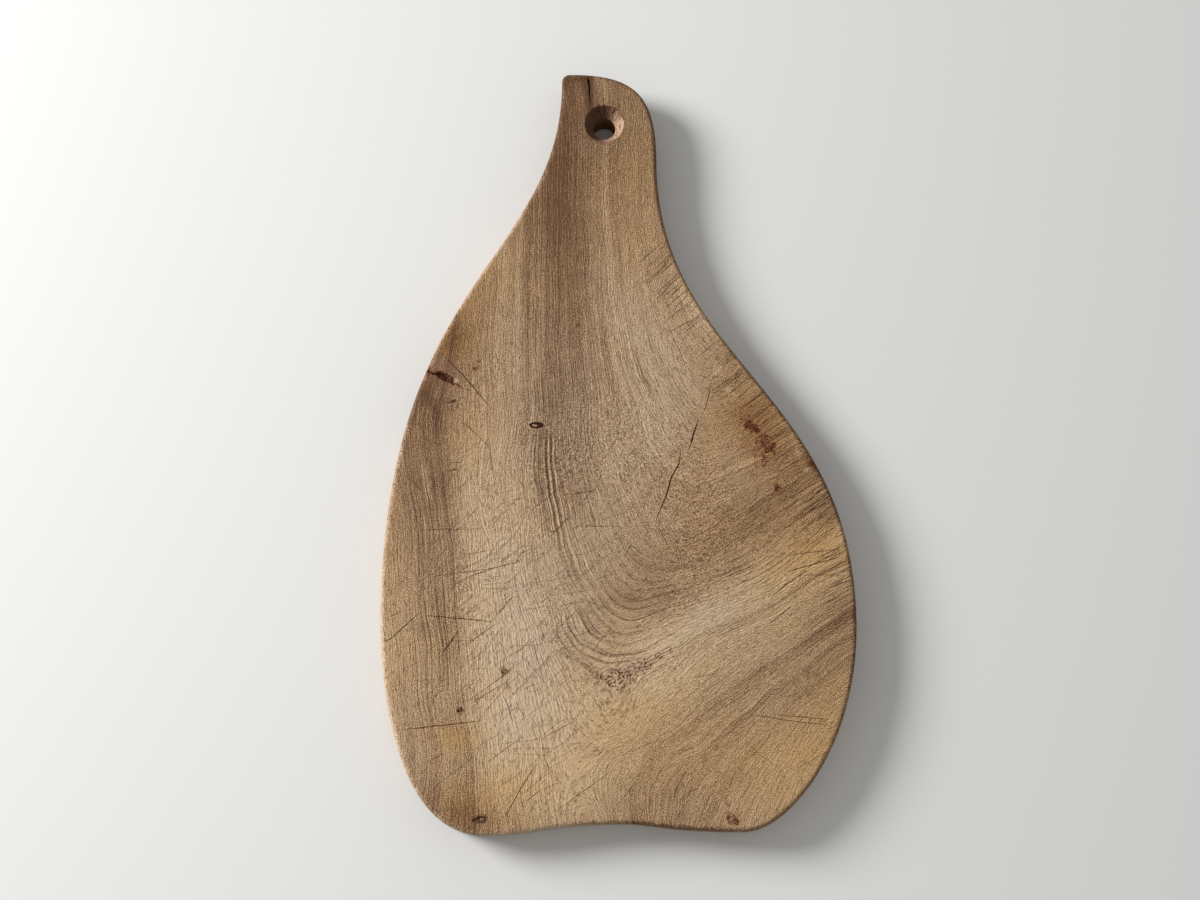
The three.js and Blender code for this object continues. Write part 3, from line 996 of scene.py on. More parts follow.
WASHES: tuple[Wash, ...] = (
    Wash((-5, 174), (30, 24), 90, 0.15, 0.00),
    Wash((-32, 140), (62, 13), 92, 0.34, 0.45),
    Wash((-22, 190), (14, 8), 90, 0.12, 0.10),
    Wash((-15.5, 192), (10, 2.2), -84, 0.40, 0.20),
    Wash((-15.1, 191), (9.5, 1.1), -86, 1.10, 0.10),
    Wash((-28.5, 194), (4, 2.5), 90, 0.35, 0.10),
    Wash((-21, 196.5), (4, 1.6), 0, 0.35, 0.10),
    Wash((8, 130), (60, 14), 90, 0.04, 0.30),
    Wash((-74, 70), (42, 14), 65, 0.02, 0.45),
    Wash((-72, 45), (62, 14), 88, 0.12, 0.10),
    Wash((-25, 50), (60, 13), 90, 0.06, -0.10),
    Wash((-10, -20), (60, 16), 95, -0.09, -0.25),
    Wash((15, 45), (36, 18), 110, -0.14, -0.35),
    Wash((-64, -50), (70, 14), 93, -0.20, 0.00),
    Wash((-42, -128), (48, 22), 100, -0.28, -0.25, 0.3),
    Wash((48, 0), (36, 14), 70, -0.02, 0.15, 0.9),
    Wash((72, -42), (46, 13), 28, 0.14, 0.20),
    Wash((74, 4), (26, 12), -55, 0.20, 0.30, 0.5),
    Wash((98, -62), (24, 13), 30, -0.06, 0.60),
    Wash((35, -101), (42, 8), 33, -0.20, -0.10),
    Wash((0, -148), (40, 30), 0, -0.18, 0.30, 0.7),
    Wash((50, -112), (60, 24), 33, -0.18, 0.15),
    Wash((80, -166), (28, 20), 40, -0.18, 0.35, 0.4),
    Wash((-98, -140), (60, 18), 95, -0.12, 0.10),
    # Painted highlight along the lit left edge.
    Wash((-112, -90), (52, 8), 92, -0.12, 0.20, 0.4),
    # Painted shade along the bottom-left edge, partly dirt.
    Wash((-75, -191), (26, 9), -12, 0.22, 0.30),
    Wash((-93, 33), (11, 8), -28, 0.04, -0.20, 0.8, blush=0.68),
    Wash((-97, 24), (6, 3), 60, 0.34, 0.10),
    Wash((-94, 12), (9, 1.4), -68, 0.28, 0.00),
    Wash((-41.5, -1.5), (4.5, 2.0), 0, 0.20, -0.10),
    Wash((6, -121), (6, 3), 25, -0.10, -0.10, blush=0.5),
    Wash((-100, -128), (80, 15), 96, calm=0.45),
    Wash((-79, -153), (9, 6), 0, -0.02, 0.55),
    Wash((-52, -178), (16, 10), 20, 0.00, 0.35),
    Wash((-51, -140), (8, 2.5), 95, -0.22, -0.30),
    Wash((-50, -118), (46, 16), 98, -0.13, 0.00),
    Wash((18, -120), (22, 14), 30, -0.06, 0.00),
    Wash((-112, -60), (20, 6), 95, 0.05, 0.00),
    Wash((-98, -182), (14, 8), -40, 0.06, -0.15),
    Wash((-12, -60), (20, 12), 95, -0.04, 0.00),
    Wash((-12, 168), (36, 18), 90, 0.04, 0.00),
    Wash((-45, 120), (16, 10), 75, 0.04, 0.00),
    Wash((15, 105), (24, 10), 90, -0.03, 0.00),
    Wash((-28, 0), (18, 26), 0, 0.04, 0.00),
    Wash((-108, 0), (20, 7), 97, -0.05, 0.00),
    Wash((-87, 47), (14, 8), 60, 0.14, 0.45, 0.4),
    Wash((-103, 16), (16, 6), 70, 0.20, 0.00),
    Wash((-80, 28), (22, 12), 80, 0.10, 0.00),
    Wash((-83.2, 27.8), (1.0, 0.7), -20, -0.80, -0.20),
    Wash((-102, 0), (55, 10), 97, 0.24, 0.10),
    Wash((-30, -72), (40, 22), 100, -0.10, -0.15),
    Wash((18, 2), (22, 12), 60, -0.10, -0.15, 0.4),
    Wash((45, 60), (14, 10), -60, -0.14, 0.00),
    Wash((-70, -140), (60, 12), 97, -0.06, 0.00),
    Wash((78, -62), (30, 8), 28, -0.08, 0.00),
    Wash((-62, 80), (40, 14), 75, 0.00, -0.25),
    Wash((-104, -150), (40, 10), 97, 0.00, -0.20),
    Wash((104, -140), (30, 14), 80, 0.00, 0.30),
    Wash((-5, 165), (40, 22), 90, 0.05, 0.00),
    Wash((-38, 125), (24, 12), 80, 0.06, 0.00),
    Wash((-45, 8), (28, 12), 92, 0.07, -0.20),
    Wash((40, 68), (24, 12), -60, -0.12, 0.00),
    Wash((-75, -182), (14, 10), -12, -0.08, 0.10),
    Wash((16, -124), (20, 10), 30, -0.07, -0.05),
    Wash((75, -84), (22, 8), 30, -0.05, 0.00),
    Wash((-54, -125), (46, 22), 98, -0.15, 0.00),
    Wash((40, -104), (50, 16), 33, -0.07, -0.15),
    Wash((108, -93), (12, 8), 40, 0.10, 0.05),
    Wash((-15, -170), (22, 22), 90, -0.06, 0.05),
    Wash((18, -40), (45, 14), 95, 0.00, -0.18),
    Wash((80, 2), (20, 14), -55, 0.00, 0.20),
    Wash((51, 33), (4.5, 1.5), 60, -0.20, -0.20),
    Wash((57, 22), (4.0, 1.8), -60, -0.22, -0.20),
    Wash((91, -9), (4.0, 0.8), -75, -0.35, -0.20),
    Wash((96, -19), (2.0, 0.7), 20, -0.45, -0.30),
    Wash((98.5, -16), (4.0, 1.8), -50, 0.50, 0.00),
    Wash((24, -55), (36, 20), 25, calm=0.7),
    Wash((78, -168), (36, 26), 40, calm=0.4),
    Wash((-42, 10), (75, 9), 92, lined=0.55),
    Wash((28, -96), (44, 14), 33, lined=1.2),
    Wash((-26, -40), (46, 13), 104, lined=0.45),
    Wash((-20, -98), (28, 12), -50, lined=0.8),
    Wash((-94, -70), (90, 12), 95, lined=0.7),
    Wash((92, -45), (34, 16), 28, lined=0.7),
    Wash((70, -118), (60, 16), 33, lined=0.6),
    Wash((-45, -120), (45, 14), 97, -0.06),
    Wash((14, -122), (14, 12), 30, -0.05),
    Wash((-14, -62), (16, 12), 95, -0.05),
    Wash((75, -62), (18, 10), 28, -0.05),
    Wash((-106, 0), (18, 8), 97, -0.04),
    Wash((-76, -92), (20, 12), 95, -0.05),
    Wash((-45, -30), (16, 10), 92, -0.03),
    Wash((8, 30), (50, 12), 112, lined=0.5),
    Wash((-45, -118), (55, 30), 100, rough=1.0),
    Wash((40, -104), (46, 9), 33, rough=0.8),
)


@dataclass(frozen=True)
class Blotch:
    """A ragged dark red stain, as dead buds leave: middle, radius and strength."""

    middle: Point
    radius: float
    strength: float


BLOTCHES: tuple[Blotch, ...] = (
    Blotch((66.5, 3.5), 3.4, 1.0),
    Blotch((70.0, 1.5), 3.4, 1.0),
    Blotch((64.5, 7.5), 4.0, 0.6),
    Blotch((67.5, 13.0), 4.0, 0.45),
    Blotch((73.5, -4.0), 4.2, 0.8),
    Blotch((77.5, -8.0), 3.6, 1.0),
    Blotch((72.0, -10.0), 5.5, 0.55),
    Blotch((66.5, -7.0), 5.0, 0.45),
    Blotch((74.5, -14.0), 4.5, 0.6),
    Blotch((70.5, 2.0), 9.5, 0.34),
    Blotch((75.0, -9.0), 9.5, 0.36),
    Blotch((80.0, -29.0), 2.6, 1.0),
    Blotch((97.0, -15.0), 3.4, 0.35),
    Blotch((-77.8, -140.2), 2.2, 0.9),
    Blotch((-55.8, -121.5), 3.2, 0.7),
    Blotch((-54.5, -129.0), 2.6, 0.4),
    Blotch((55.0, -192.5), 4.0, 0.7),
    Blotch((-20.5, 57.5), 1.6, 0.7),
    Blotch((-73.2, 34.2), 2.2, 0.6),
    Blotch((-71.2, 37.9), 1.4, 0.6),
    Blotch((-98.0, 34.0), 1.6, 1.0),
    Blotch((-97.2, 31.0), 1.5, 0.9),
    Blotch((-95.4, 31.8), 1.2, 0.9),
    Blotch((-91.0, 30.6), 2.6, 0.8),
    Blotch((-87.0, 28.6), 2.6, 0.9),
    Blotch((-84.2, 26.6), 1.6, 0.9),
    Blotch((-81.5, 24.8), 0.9, 0.9),
    Blotch((-80.0, 23.6), 0.7, 0.8),
    Blotch((-97.5, 24.5), 3.5, 0.35),
)
CHARS: tuple[Blotch, ...] = (
    Blotch((-97.0, 35.2), 1.0, 1.0),
    Blotch((-97.5, 33.0), 0.9, 1.0),
    Blotch((-97.5, 30.8), 1.0, 1.0),
    Blotch((-94.9, 31.3), 0.8, 1.0),
    Blotch((-83.4, 16.9), 1.2, 0.75),
    Blotch((-85.0, 16.4), 0.9, 0.6),
    Blotch((-82.6, -19.1), 1.0, 0.6),
    Blotch((-28.3, 194.2), 1.3, 0.7),
    Blotch((-22.5, 196.8), 0.9, 0.7),
    Blotch((-19.6, 196.8), 0.9, 0.7),
    Blotch((-17.2, 197.2), 1.2, 0.8),
    Blotch((-69.9, -193.0), 1.1, 0.9),
    Blotch((-69.0, -194.4), 0.9, 0.8),
    Blotch((-64.4, -191.0), 0.8, 0.8),
    Blotch((-65.3, -193.9), 0.7, 0.7),
    Blotch((68.8, 3.0), 1.5, 0.7),
    Blotch((70.6, 0.9), 1.3, 0.8),
    Blotch((66.2, 4.8), 1.0, 0.6),
    Blotch((77.6, -8.0), 1.3, 0.8),
    Blotch((79.2, -9.6), 0.9, 0.7),
    Blotch((98.8, -16.8), 2.6, 0.62),
    Blotch((72.2, -1.6), 1.0, 0.6),
    Blotch((75.2, -5.6), 1.1, 0.6),
    Blotch((67.2, 7.4), 0.9, 0.5),
    Blotch((72.6, -11.2), 0.9, 0.5),
    Blotch((80.2, -28.6), 1.2, 0.6),
)
BURL: tuple[Blotch, ...] = (
    Blotch((-2.0, -125.0), 5.0, 0.9),
    Blotch((3.5, -123.5), 5.0, 1.0),
    Blotch((9.0, -120.5), 4.0, 1.0),
    Blotch((14.0, -117.5), 3.0, 0.9),
    Blotch((20.0, -114.0), 2.2, 0.8),
    Blotch((25.5, -111.0), 1.8, 0.8),
    Blotch((2.0, -128.5), 4.0, 0.7),
    Blotch((-9.0, -124.0), 3.0, 0.6),
)


def stained(points: Array, blotches: Sequence[Blotch], ragged: float) -> Array:
    """Strength of a group of stains.

    Args:
        points: Places on the face.
        blotches: The stains.
        ragged: How far their edges stray, as a share of their radius.

    Returns:
        A strength from 0 to 1 for each place.
    """
    stray = ragged * ripple(points, 1.6, 15.0)
    strength = np.zeros(len(points))
    for blotch in blotches:
        gap = np.linalg.norm(points[:, :2] - blotch.middle, axis=1) / blotch.radius + stray
        strength = np.maximum(strength, blotch.strength * (1.0 - rise(gap, 0.4, 1.3)))
    return strength


@dataclass(frozen=True)
class Streak:
    """One layer of streaks along the grain.

    Attributes:
        across: Width of a streak, in millimetres.
        along: Its length.
        detail: Octaves of finer noise.
        shade: How much it darkens the wood, or pales it if negative.
        relief: How much it stands out, as a share of the full relief.
        window: Where noise turns into a line that stands alone, or None for streaks all over.
    """

    across: float
    along: float
    detail: float
    shade: float
    relief: float
    window: Point | None = None


@dataclass(frozen=True)
class Scratch:
    """One layer of fine straight scratches.

    Attributes:
        lean: Their lean from +X, in degrees.
        across: Their width, in millimetres.
        along: Their length.
        shade: How much they darken the wood, or bleach it if negative.
    """

    lean: float
    across: float
    along: float
    shade: float


@dataclass(frozen=True)
class WoodFinish:
    """Bare crotch wood, dull with wear.

    Attributes:
        tones: Colours from the palest wood to the darkest.
        bands: Growth levels with their shade, for the bands that follow the figure.
        rings: Growth level, half width and shade of single thin lines, rising within each ten.
        streaks: Layers of streaks, from broad to fine.
        scratches: Layers of fine scratches.
        relief: Full height of the raised grain, in millimetres.
    """

    name: str = "crotch_wood"
    tones: tuple[str, ...] = ("cfb698", "b89d7d", "a18467", "80634a", "563c29")
    ochre: str = "ffecbe"
    flush: str = "8c5631"
    red: str = "401608"
    bud: str = "5e2814"
    # Countersink colours: end grain with painted shade for the upper left, and end grain with a painted highlight for
    # the lower right.
    reamed_shade_and_highlight: tuple[str, str] = ("5c4030", "bd9c80")
    blush: tuple[str, str] = ("a88a70", "6f4c38")
    # Colours of dirt in marks and stains, and of painted shade in deep hollows, the bore and the spike knot's open
    # heart.
    grime: tuple[str, str] = ("70401a", "2a1206")
    bands: tuple[tuple[float, float], ...] = (
        (-95, 0.00), (-80, -0.04), (-68, 0.00), (-62, 0.16), (-58, 0.04), (-52, 0.12), (-47, 0.06), (-40, 0.10),
        (-36.2, 0.20), (-35, 0.06), (-33, 0.03), (-28, -0.04), (-15, -0.05), (-6, -0.08), (-1, 0.06), (2, -0.06), (5, -0.04),
        (9, 0.03), (18, 0.06), (26, 0.05), (32, 0.02), (41, -0.02), (42.5, -0.14), (44, 0.00), (55, -0.02), (85, 0.0),
    )
    rings: tuple[tuple[float, float, float], ...] = (
        (-50.5, 0.7, 0.34), (-48.6, 0.6, 0.28), (-40.5, 0.5, 0.20), (-36, 0.9, 0.32), (-1.1, 0.3, 0.16),
        (4.0, 0.3, 0.28), (4.8, 0.25, -0.22), (9.3, 0.3, 0.30), (12.4, 0.3, 0.28), (15.5, 0.3, 0.28),
        (1.6, 0.25, 0.20), (6.7, 0.25, 0.24), (7.3, 0.2, -0.16), (10.9, 0.25, 0.24), (13.8, 0.25, 0.22),
        (17.6, 0.25, 0.20), (20.2, 0.3, 0.26), (22.0, 0.25, 0.24), (25.0, 0.25, 0.20), (28.5, 0.25, 0.18),
        (31.0, 0.25, -0.16), (31.9, 0.25, 0.14), (34.5, 0.25, 0.14), (38.5, 0.25, 0.14), (40.4, 0.25, -0.14),
        (41.2, 0.25, 0.16), (42.0, 0.3, -0.24), (43.6, 0.25, -0.18), (44.8, 0.25, 0.16), (47.5, 0.25, 0.12),
        (-55.0, 0.3, 0.20), (-52.6, 0.25, 0.20), (-38.6, 0.25, 0.18), (-37.4, 0.25, 0.24), (-34.6, 0.25, 0.20),
        (-30.0, 0.25, 0.14), (-26.0, 0.25, 0.14), (-20.0, 0.25, 0.12), (-14.0, 0.25, 0.12), (-8.0, 0.25, 0.10),
    )
    streaks: tuple[Streak, ...] = (
        Streak(7.0, 160.0, 2.0, 0.28, 0.0),
        Streak(2.4, 140.0, 2.0, 0.26, 0.2),
        Streak(1.0, 140.0, 2.0, 0.28, 0.5),
        Streak(0.5, 36.0, 1.0, 0.34, 0.7),
        Streak(0.42, 4.0, 0.0, 0.24, 0.6),
        Streak(1.1, 5.0, 1.0, 0.16, 0.8),
        Streak(1.3, 118.0, 1.0, 0.50, -0.8, (0.57, 0.67)),
        Streak(0.7, 131.0, 1.0, 0.44, -0.6, (0.57, 0.66)),
        Streak(1.4, 90.0, 1.0, -0.46, 0.7, (0.59, 0.67)),
    )
    scratches: tuple[Scratch, ...] = (
        Scratch(40.0, 0.42, 26.0, 0.14),
        Scratch(48.0, 0.40, 16.0, 0.13),
        Scratch(8.0, 0.42, 22.0, 0.09),
        Scratch(-38.0, 0.40, 20.0, 0.10),
        Scratch(33.0, 0.45, 24.0, -0.14),
        Scratch(54.0, 0.45, 12.0, -0.14),
    )
    roughness: Point = (0.5, 0.72)
    relief: float = 0.45

    def dress(self) -> bpy.types.Material:
        """Builds the material.

        Returns:
            The material, which reads the numbers that the plank carries.
        """
        material, s = new_material(self.name)
        growth = s.attribute("growth")
        plain = 1.0 - 0.75 * s.attribute("calm")
        strayed = growth + 1.0 * (s.mottle(35.0, 2.0) - 0.5)
        bands = self._shades(s, strayed, self.bands) * (0.55 + 0.9 * s.mottle(60.0, 1.0))
        rings = self._thin_rings(s, strayed) * s.mottle(22.0, 2.0).rise(0.30, 0.55)
        lined = s.attribute("lined") * s.mottle(24.0, 1.0).rise(0.28, 0.62)
        grit = s.mottle(0.5, 1.0) - 0.5
        clouds = s.mottle(9.0, 3.0) - 0.5
        tone = s.attribute("shade") + plain * (bands + rings) + 2.2 * (s.attribute("gritty") * grit) + 0.25 * clouds + 0.5
        height = 0.7 * grit - rings
        for streak in self.streaks:
            lines = s.streaks(growth, streak.across, streak.along, streak.detail)
            lines = lined * lines.rise(*streak.window) if streak.window else lines - 0.5
            tone = tone + streak.shade * (plain * lines)
            height = height + streak.relief * lines
        height = height * (1.0 + s.attribute("rough"))
        pores = s.streaks(growth, 0.38, 2.4, 0.0).rise(0.61, 0.74)
        worn = s.attribute("worn")
        for layer, scratch in enumerate(self.scratches):
            cut = worn * s.scratches(scratch.lean, scratch.across, scratch.along, layer)
            tone = tone + scratch.shade * cut
            height = height - 0.22 * cut
        colour = s.ramp(tone, [(i / (len(self.tones) - 1), tint(t)) for i, t in enumerate(self.tones)])
        warm = s.attribute("warm") + 0.5 * (s.mottle(30.0, 2.0) - 0.5) + 0.25
        colour = s.mix(warm, colour, tint(self.ochre), "MULTIPLY")
        colour = s.mix(s.attribute("blush"), colour, s.mix(tone.rise(0.2, 1.1), *map(tint, self.blush)))
        colour = s.mix(0.48 * pores, colour, tint(self.tones[-1]))
        burl = s.attribute("burl").rise(0.15, 0.6) * s.streaks(growth, 0.7, 1.1, 1.0).rise(0.52, 0.60)
        flush = s.attribute("red")
        fibres = s.streaks(growth, 0.6, 3.0, 1.0) - 0.5
        ragged = 0.8 * flush + 2.6 * (s.mottle(0.9, 4.0) - 0.5) + 1.4 * fibres
        colour = s.mix(0.75 * flush, colour, tint(self.flush))
        stain = flush.rise(0.2, 0.6) * ragged.rise(0.42, 0.85)
        colour = s.mix(stain, colour, tint(self.red))
        colour = s.mix(0.95 * burl, colour, tint(self.bud))
        # Countersink: end-grain colour with painted shade on its upper left and a painted highlight on its lower right.
        sink = s.attribute("sink")
        reamed_shade_and_highlight = s.mix(sink.rise(0.45, 0.95), tint(self.reamed_shade_and_highlight[0]), tint(self.reamed_shade_and_highlight[1]))
        reamed_shade_and_highlight = s.mix(3.2 * (s.mottle(0.9, 3.0) - 0.48), reamed_shade_and_highlight, tint(self.tones[-1]))
        reamed_shade_and_highlight = s.mix(6.0 * (s.streaks(growth, 0.7, 6.0, 1.0) - 0.53), reamed_shade_and_highlight, tint(self.reamed_shade_and_highlight[0]))
        colour = s.mix(sink.rise(0.02, 0.20), colour, reamed_shade_and_highlight)
        # Dirt in marks and stains, plus painted shade in deep hollows, the bore and the spike knot's open heart.
        grime = s.attribute("grime")
        dirt = s.ramp(grime, [(share, tint(code)) for share, code in zip((0.3, 0.9), self.grime)])
        colour = s.mix(grime.rise(0.0, 0.8), colour, dirt)
        low, high = self.roughness
        roughness = low + (high - low) * (0.6 + 0.8 * grit + 0.3 * pores)
        s.surface(colour, roughness, height - 0.3 * pores - 0.4 * burl, self.relief)
        return material

    def _thin_rings(self, s: Shader, growth: Value) -> Value:
        """The shade of the single thin lines, in groups that a ramp has room for.

        Args:
            s: Builder of the material's nodes.
            growth: The growth level.

        Returns:
            The shade, which is positive where a line is dark.
        """
        stops = [(level + side * half, shade * (side == 0)) for level, half, shade in self.rings for side in (-1, 0, 1)]
        return sum(self._shades(s, growth, stops[start:start + 30]) for start in range(0, len(stops), 30))

    def _shades(self, s: Shader, growth: Value, levels: Sequence[tuple[float, float]]) -> Value:
        """The shade that goes with the growth level.

        Args:
            s: Builder of the material's nodes.
            growth: The growth level.
            levels: Growth levels in rising order, with the shade at each.

        Returns:
            The shade, which is positive where the wood is dark.
        """
        low, high = levels[0][0], levels[-1][0]
        stops = [((level - low) / (high - low), (0.5 + shade,) * 3 + (1.0,)) for level, shade in levels]
        grey = s.ramp((growth - low) / (high - low), stops)
        return Value(s, s.node("ShaderNodeSeparateColor", {}, {0: grey}).outputs[0]) - 0.5


@dataclass(frozen=True)
class KnotFinish:
    """Dead knot wood: rings and fine lines round a dark core."""

    name: str
    ring: str
    wood: str
    core: str
    roughness: float = 0.68
    relief: float = 0.25

    def dress(self) -> bpy.types.Material:
        """Builds the material.

        Returns:
            The material, which reads the numbers that a knot carries.
        """
        material, s = new_material(self.name)
        growth = s.attribute("growth")
        fine = s.streaks(growth, 0.35, 6.0, 2.0)
        pale = s.attribute("pale")
        dark = s.attribute("dark")
        colour = s.mix(pale.rise(0.1, 0.9), tint(self.ring), tint(self.wood))
        colour = s.mix(1.5 * (fine - 0.42), colour, tint(self.ring))
        colour = s.mix(1.2 * (s.mottle(2.2, 2.0) - 0.45), colour, tint(self.ring))
        colour = s.mix(dark.rise(0.05, 0.6), colour, tint(self.core))
        roughness = self.roughness + 0.25 * (fine - 0.5)
        s.surface(colour, roughness, fine - 0.4 * dark, self.relief)
        return material


@dataclass
class DeadKnot:
    """A small dead knot that lies loose in its pocket.

    Attributes:
        node: Its node in the frame, which gives its place and size.
        gap: Room between knot and pocket.
        rim: Depth to which the knot's rim has shrunk.
        streak: Ends of the pale streak in it, from its middle.
        ring: How closed its dark ring is, 0 to 1.
        halo: How dark the wood is just round it, 0 to 1.
        smudge: How dark the smudges over it are, 0 to 1.
        uneven: How far its oval strays, as a share of its size.
        taper: Size at its lower end, as a share of the upper end.
    """

    node: str
    finish: KnotFinish
    slot: str
    layer: float
    streak: Course
    ring: float
    halo: float
    gap: float = 0.08
    rim: float = 0.30
    smudge: float = 0.0
    uneven: float = 0.08
    taper: float = 0.62
    sides: int = 56

    def __post_init__(self) -> None:
        """Reads the knot's place and size from the frame."""
        low, high = (np.array(corner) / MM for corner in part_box(self.node))
        self.middle = 0.5 * (low + high)[:2]
        self.half = 0.5 * (high - low)[:2]
        self.top = float(high[2])
        self.bottom = float(low[2])
        angle = np.linspace(0.0, 2.0 * np.pi, self.sides, endpoint=False)
        self.oval = np.column_stack([np.cos(angle), np.sin(angle)])
        self.stray = 1.0 + self.uneven * ripple(self.oval * 2.0, 1.0, self.layer)

    def loop(self, share: float, room: float) -> Array:
        """A loop of the knot's shape.

        Args:
            share: Its size, as a share of the knot's.
            room: Room added round it.

        Returns:
            Points of the loop in plan.
        """
        size = np.minimum(self.stray, 1.0) * share
        return self.middle + self.oval * (self.half * size[:, None] + room)

    def zone(self) -> Zone:
        """The part of the face round the knot that needs a finer mesh."""
        return Zone(tuple(self.middle), tuple(self.half + 2.0), 0.0, 0.45)

    def mouth(self) -> Array:
        """The pocket's mouth in the face."""
        return self.loop(1.0, self.gap)

    def soiled(self, places: Array) -> Array:
        """How dark the wood round the mouth is.

        Args:
            places: Places on the face.

        Returns:
            A share from 0 to 1 for each place.
        """
        away = places[:, :2] - self.middle
        share = np.maximum(np.linalg.norm(away / self.half, axis=1), 0.1)
        beyond = np.linalg.norm(away, axis=1) * (1.0 - 1.0 / share)
        stray = 0.5 * ripple(places, 1.2, self.layer + 2.0)
        return self.halo * (1.0 - rise(beyond + stray, 0.3, 1.3))

    def line_pocket(self, draft: Draft, lip: Array) -> None:
        """Adds the pocket's walls and floor to the plank.

        Args:
            draft: The plank's mesh.
            lip: The mouth's points on the face.
        """
        floor = self.bottom - self.gap
        rings = [lip]
        for step in np.linspace(0.0, 1.0, 7)[1:]:
            plan = self.loop(1.0 - step * (1.0 - self.taper), self.gap)
            rings.append(np.column_stack([plan, lip[:, 2] + step * (floor - lip[:, 2])]))
        draft.skin(rings)
        draft.cap(rings[-1])

    def build(self) -> bpy.types.Object:
        """Makes the knot.

        Returns:
            The piece, in its pocket.
        """
        draft = Draft()
        rings = []
        for share in (0.10, 0.24, 0.38, 0.52, 0.64, 0.75, 0.84, 0.92, 0.97, 1.0):
            plan = self.loop(share, 0.0)
            groove = self.rim * (math.exp(-((share - 0.8) / 0.12) ** 2) + max(0.0, share - 0.9) / 0.1)
            swell = 0.12 * np.minimum(ripple(plan, 0.8, self.layer), 0.8)
            rings.append(np.column_stack([plan, self.top - 0.12 + swell - 0.6 * groove]))
        upper = rings[-1]
        for step in np.linspace(0.0, 1.0, 8)[1:]:
            plan = self.loop(1.0 - step * (1.0 - self.taper), 0.0)
            rings.append(np.column_stack([plan, upper[:, 2] + step * (self.bottom - upper[:, 2])]))
        draft.skin(rings)
        draft.cap(rings[0])
        draft.cap(rings[-1])
        piece = draft.build(self.node + "_worn")
        places = vertices(piece)
        radial = np.linalg.norm((places[:, :2] - self.middle) / self.half, axis=1)
        reach = np.linalg.norm(places[:, :2] - self.middle, axis=1)
        carry(piece, "growth", reach + 0.4 * ripple(places, 1.5, self.layer))
        start, end = (self.middle + np.array(point) for point in self.streak)
        span = end - start
        share = np.clip((places[:, :2] - start) @ span / (span @ span), 0.0, 1.0)
        aside = np.linalg.norm(places[:, :2] - start - share[:, None] * span, axis=1)
        carry(piece, "pale", (1.0 - rise(aside, 0.25, 0.75)) * (places[:, 2] > self.top - 1.2))
        broken = np.clip(self.ring + 1.4 * ripple(places, 1.3, self.layer + 1.0), 0.0, 1.0)
        smudge = self.smudge * rise(ripple(places, 1.0, self.layer + 3.0), -0.05, 0.3)
        carry(piece, "dark", np.maximum(broken * rise(radial, 0.62, 0.9), smudge))
        finish_mesh(piece, 40.0)
        piece.data.materials.append(self.finish.dress())
        return piece


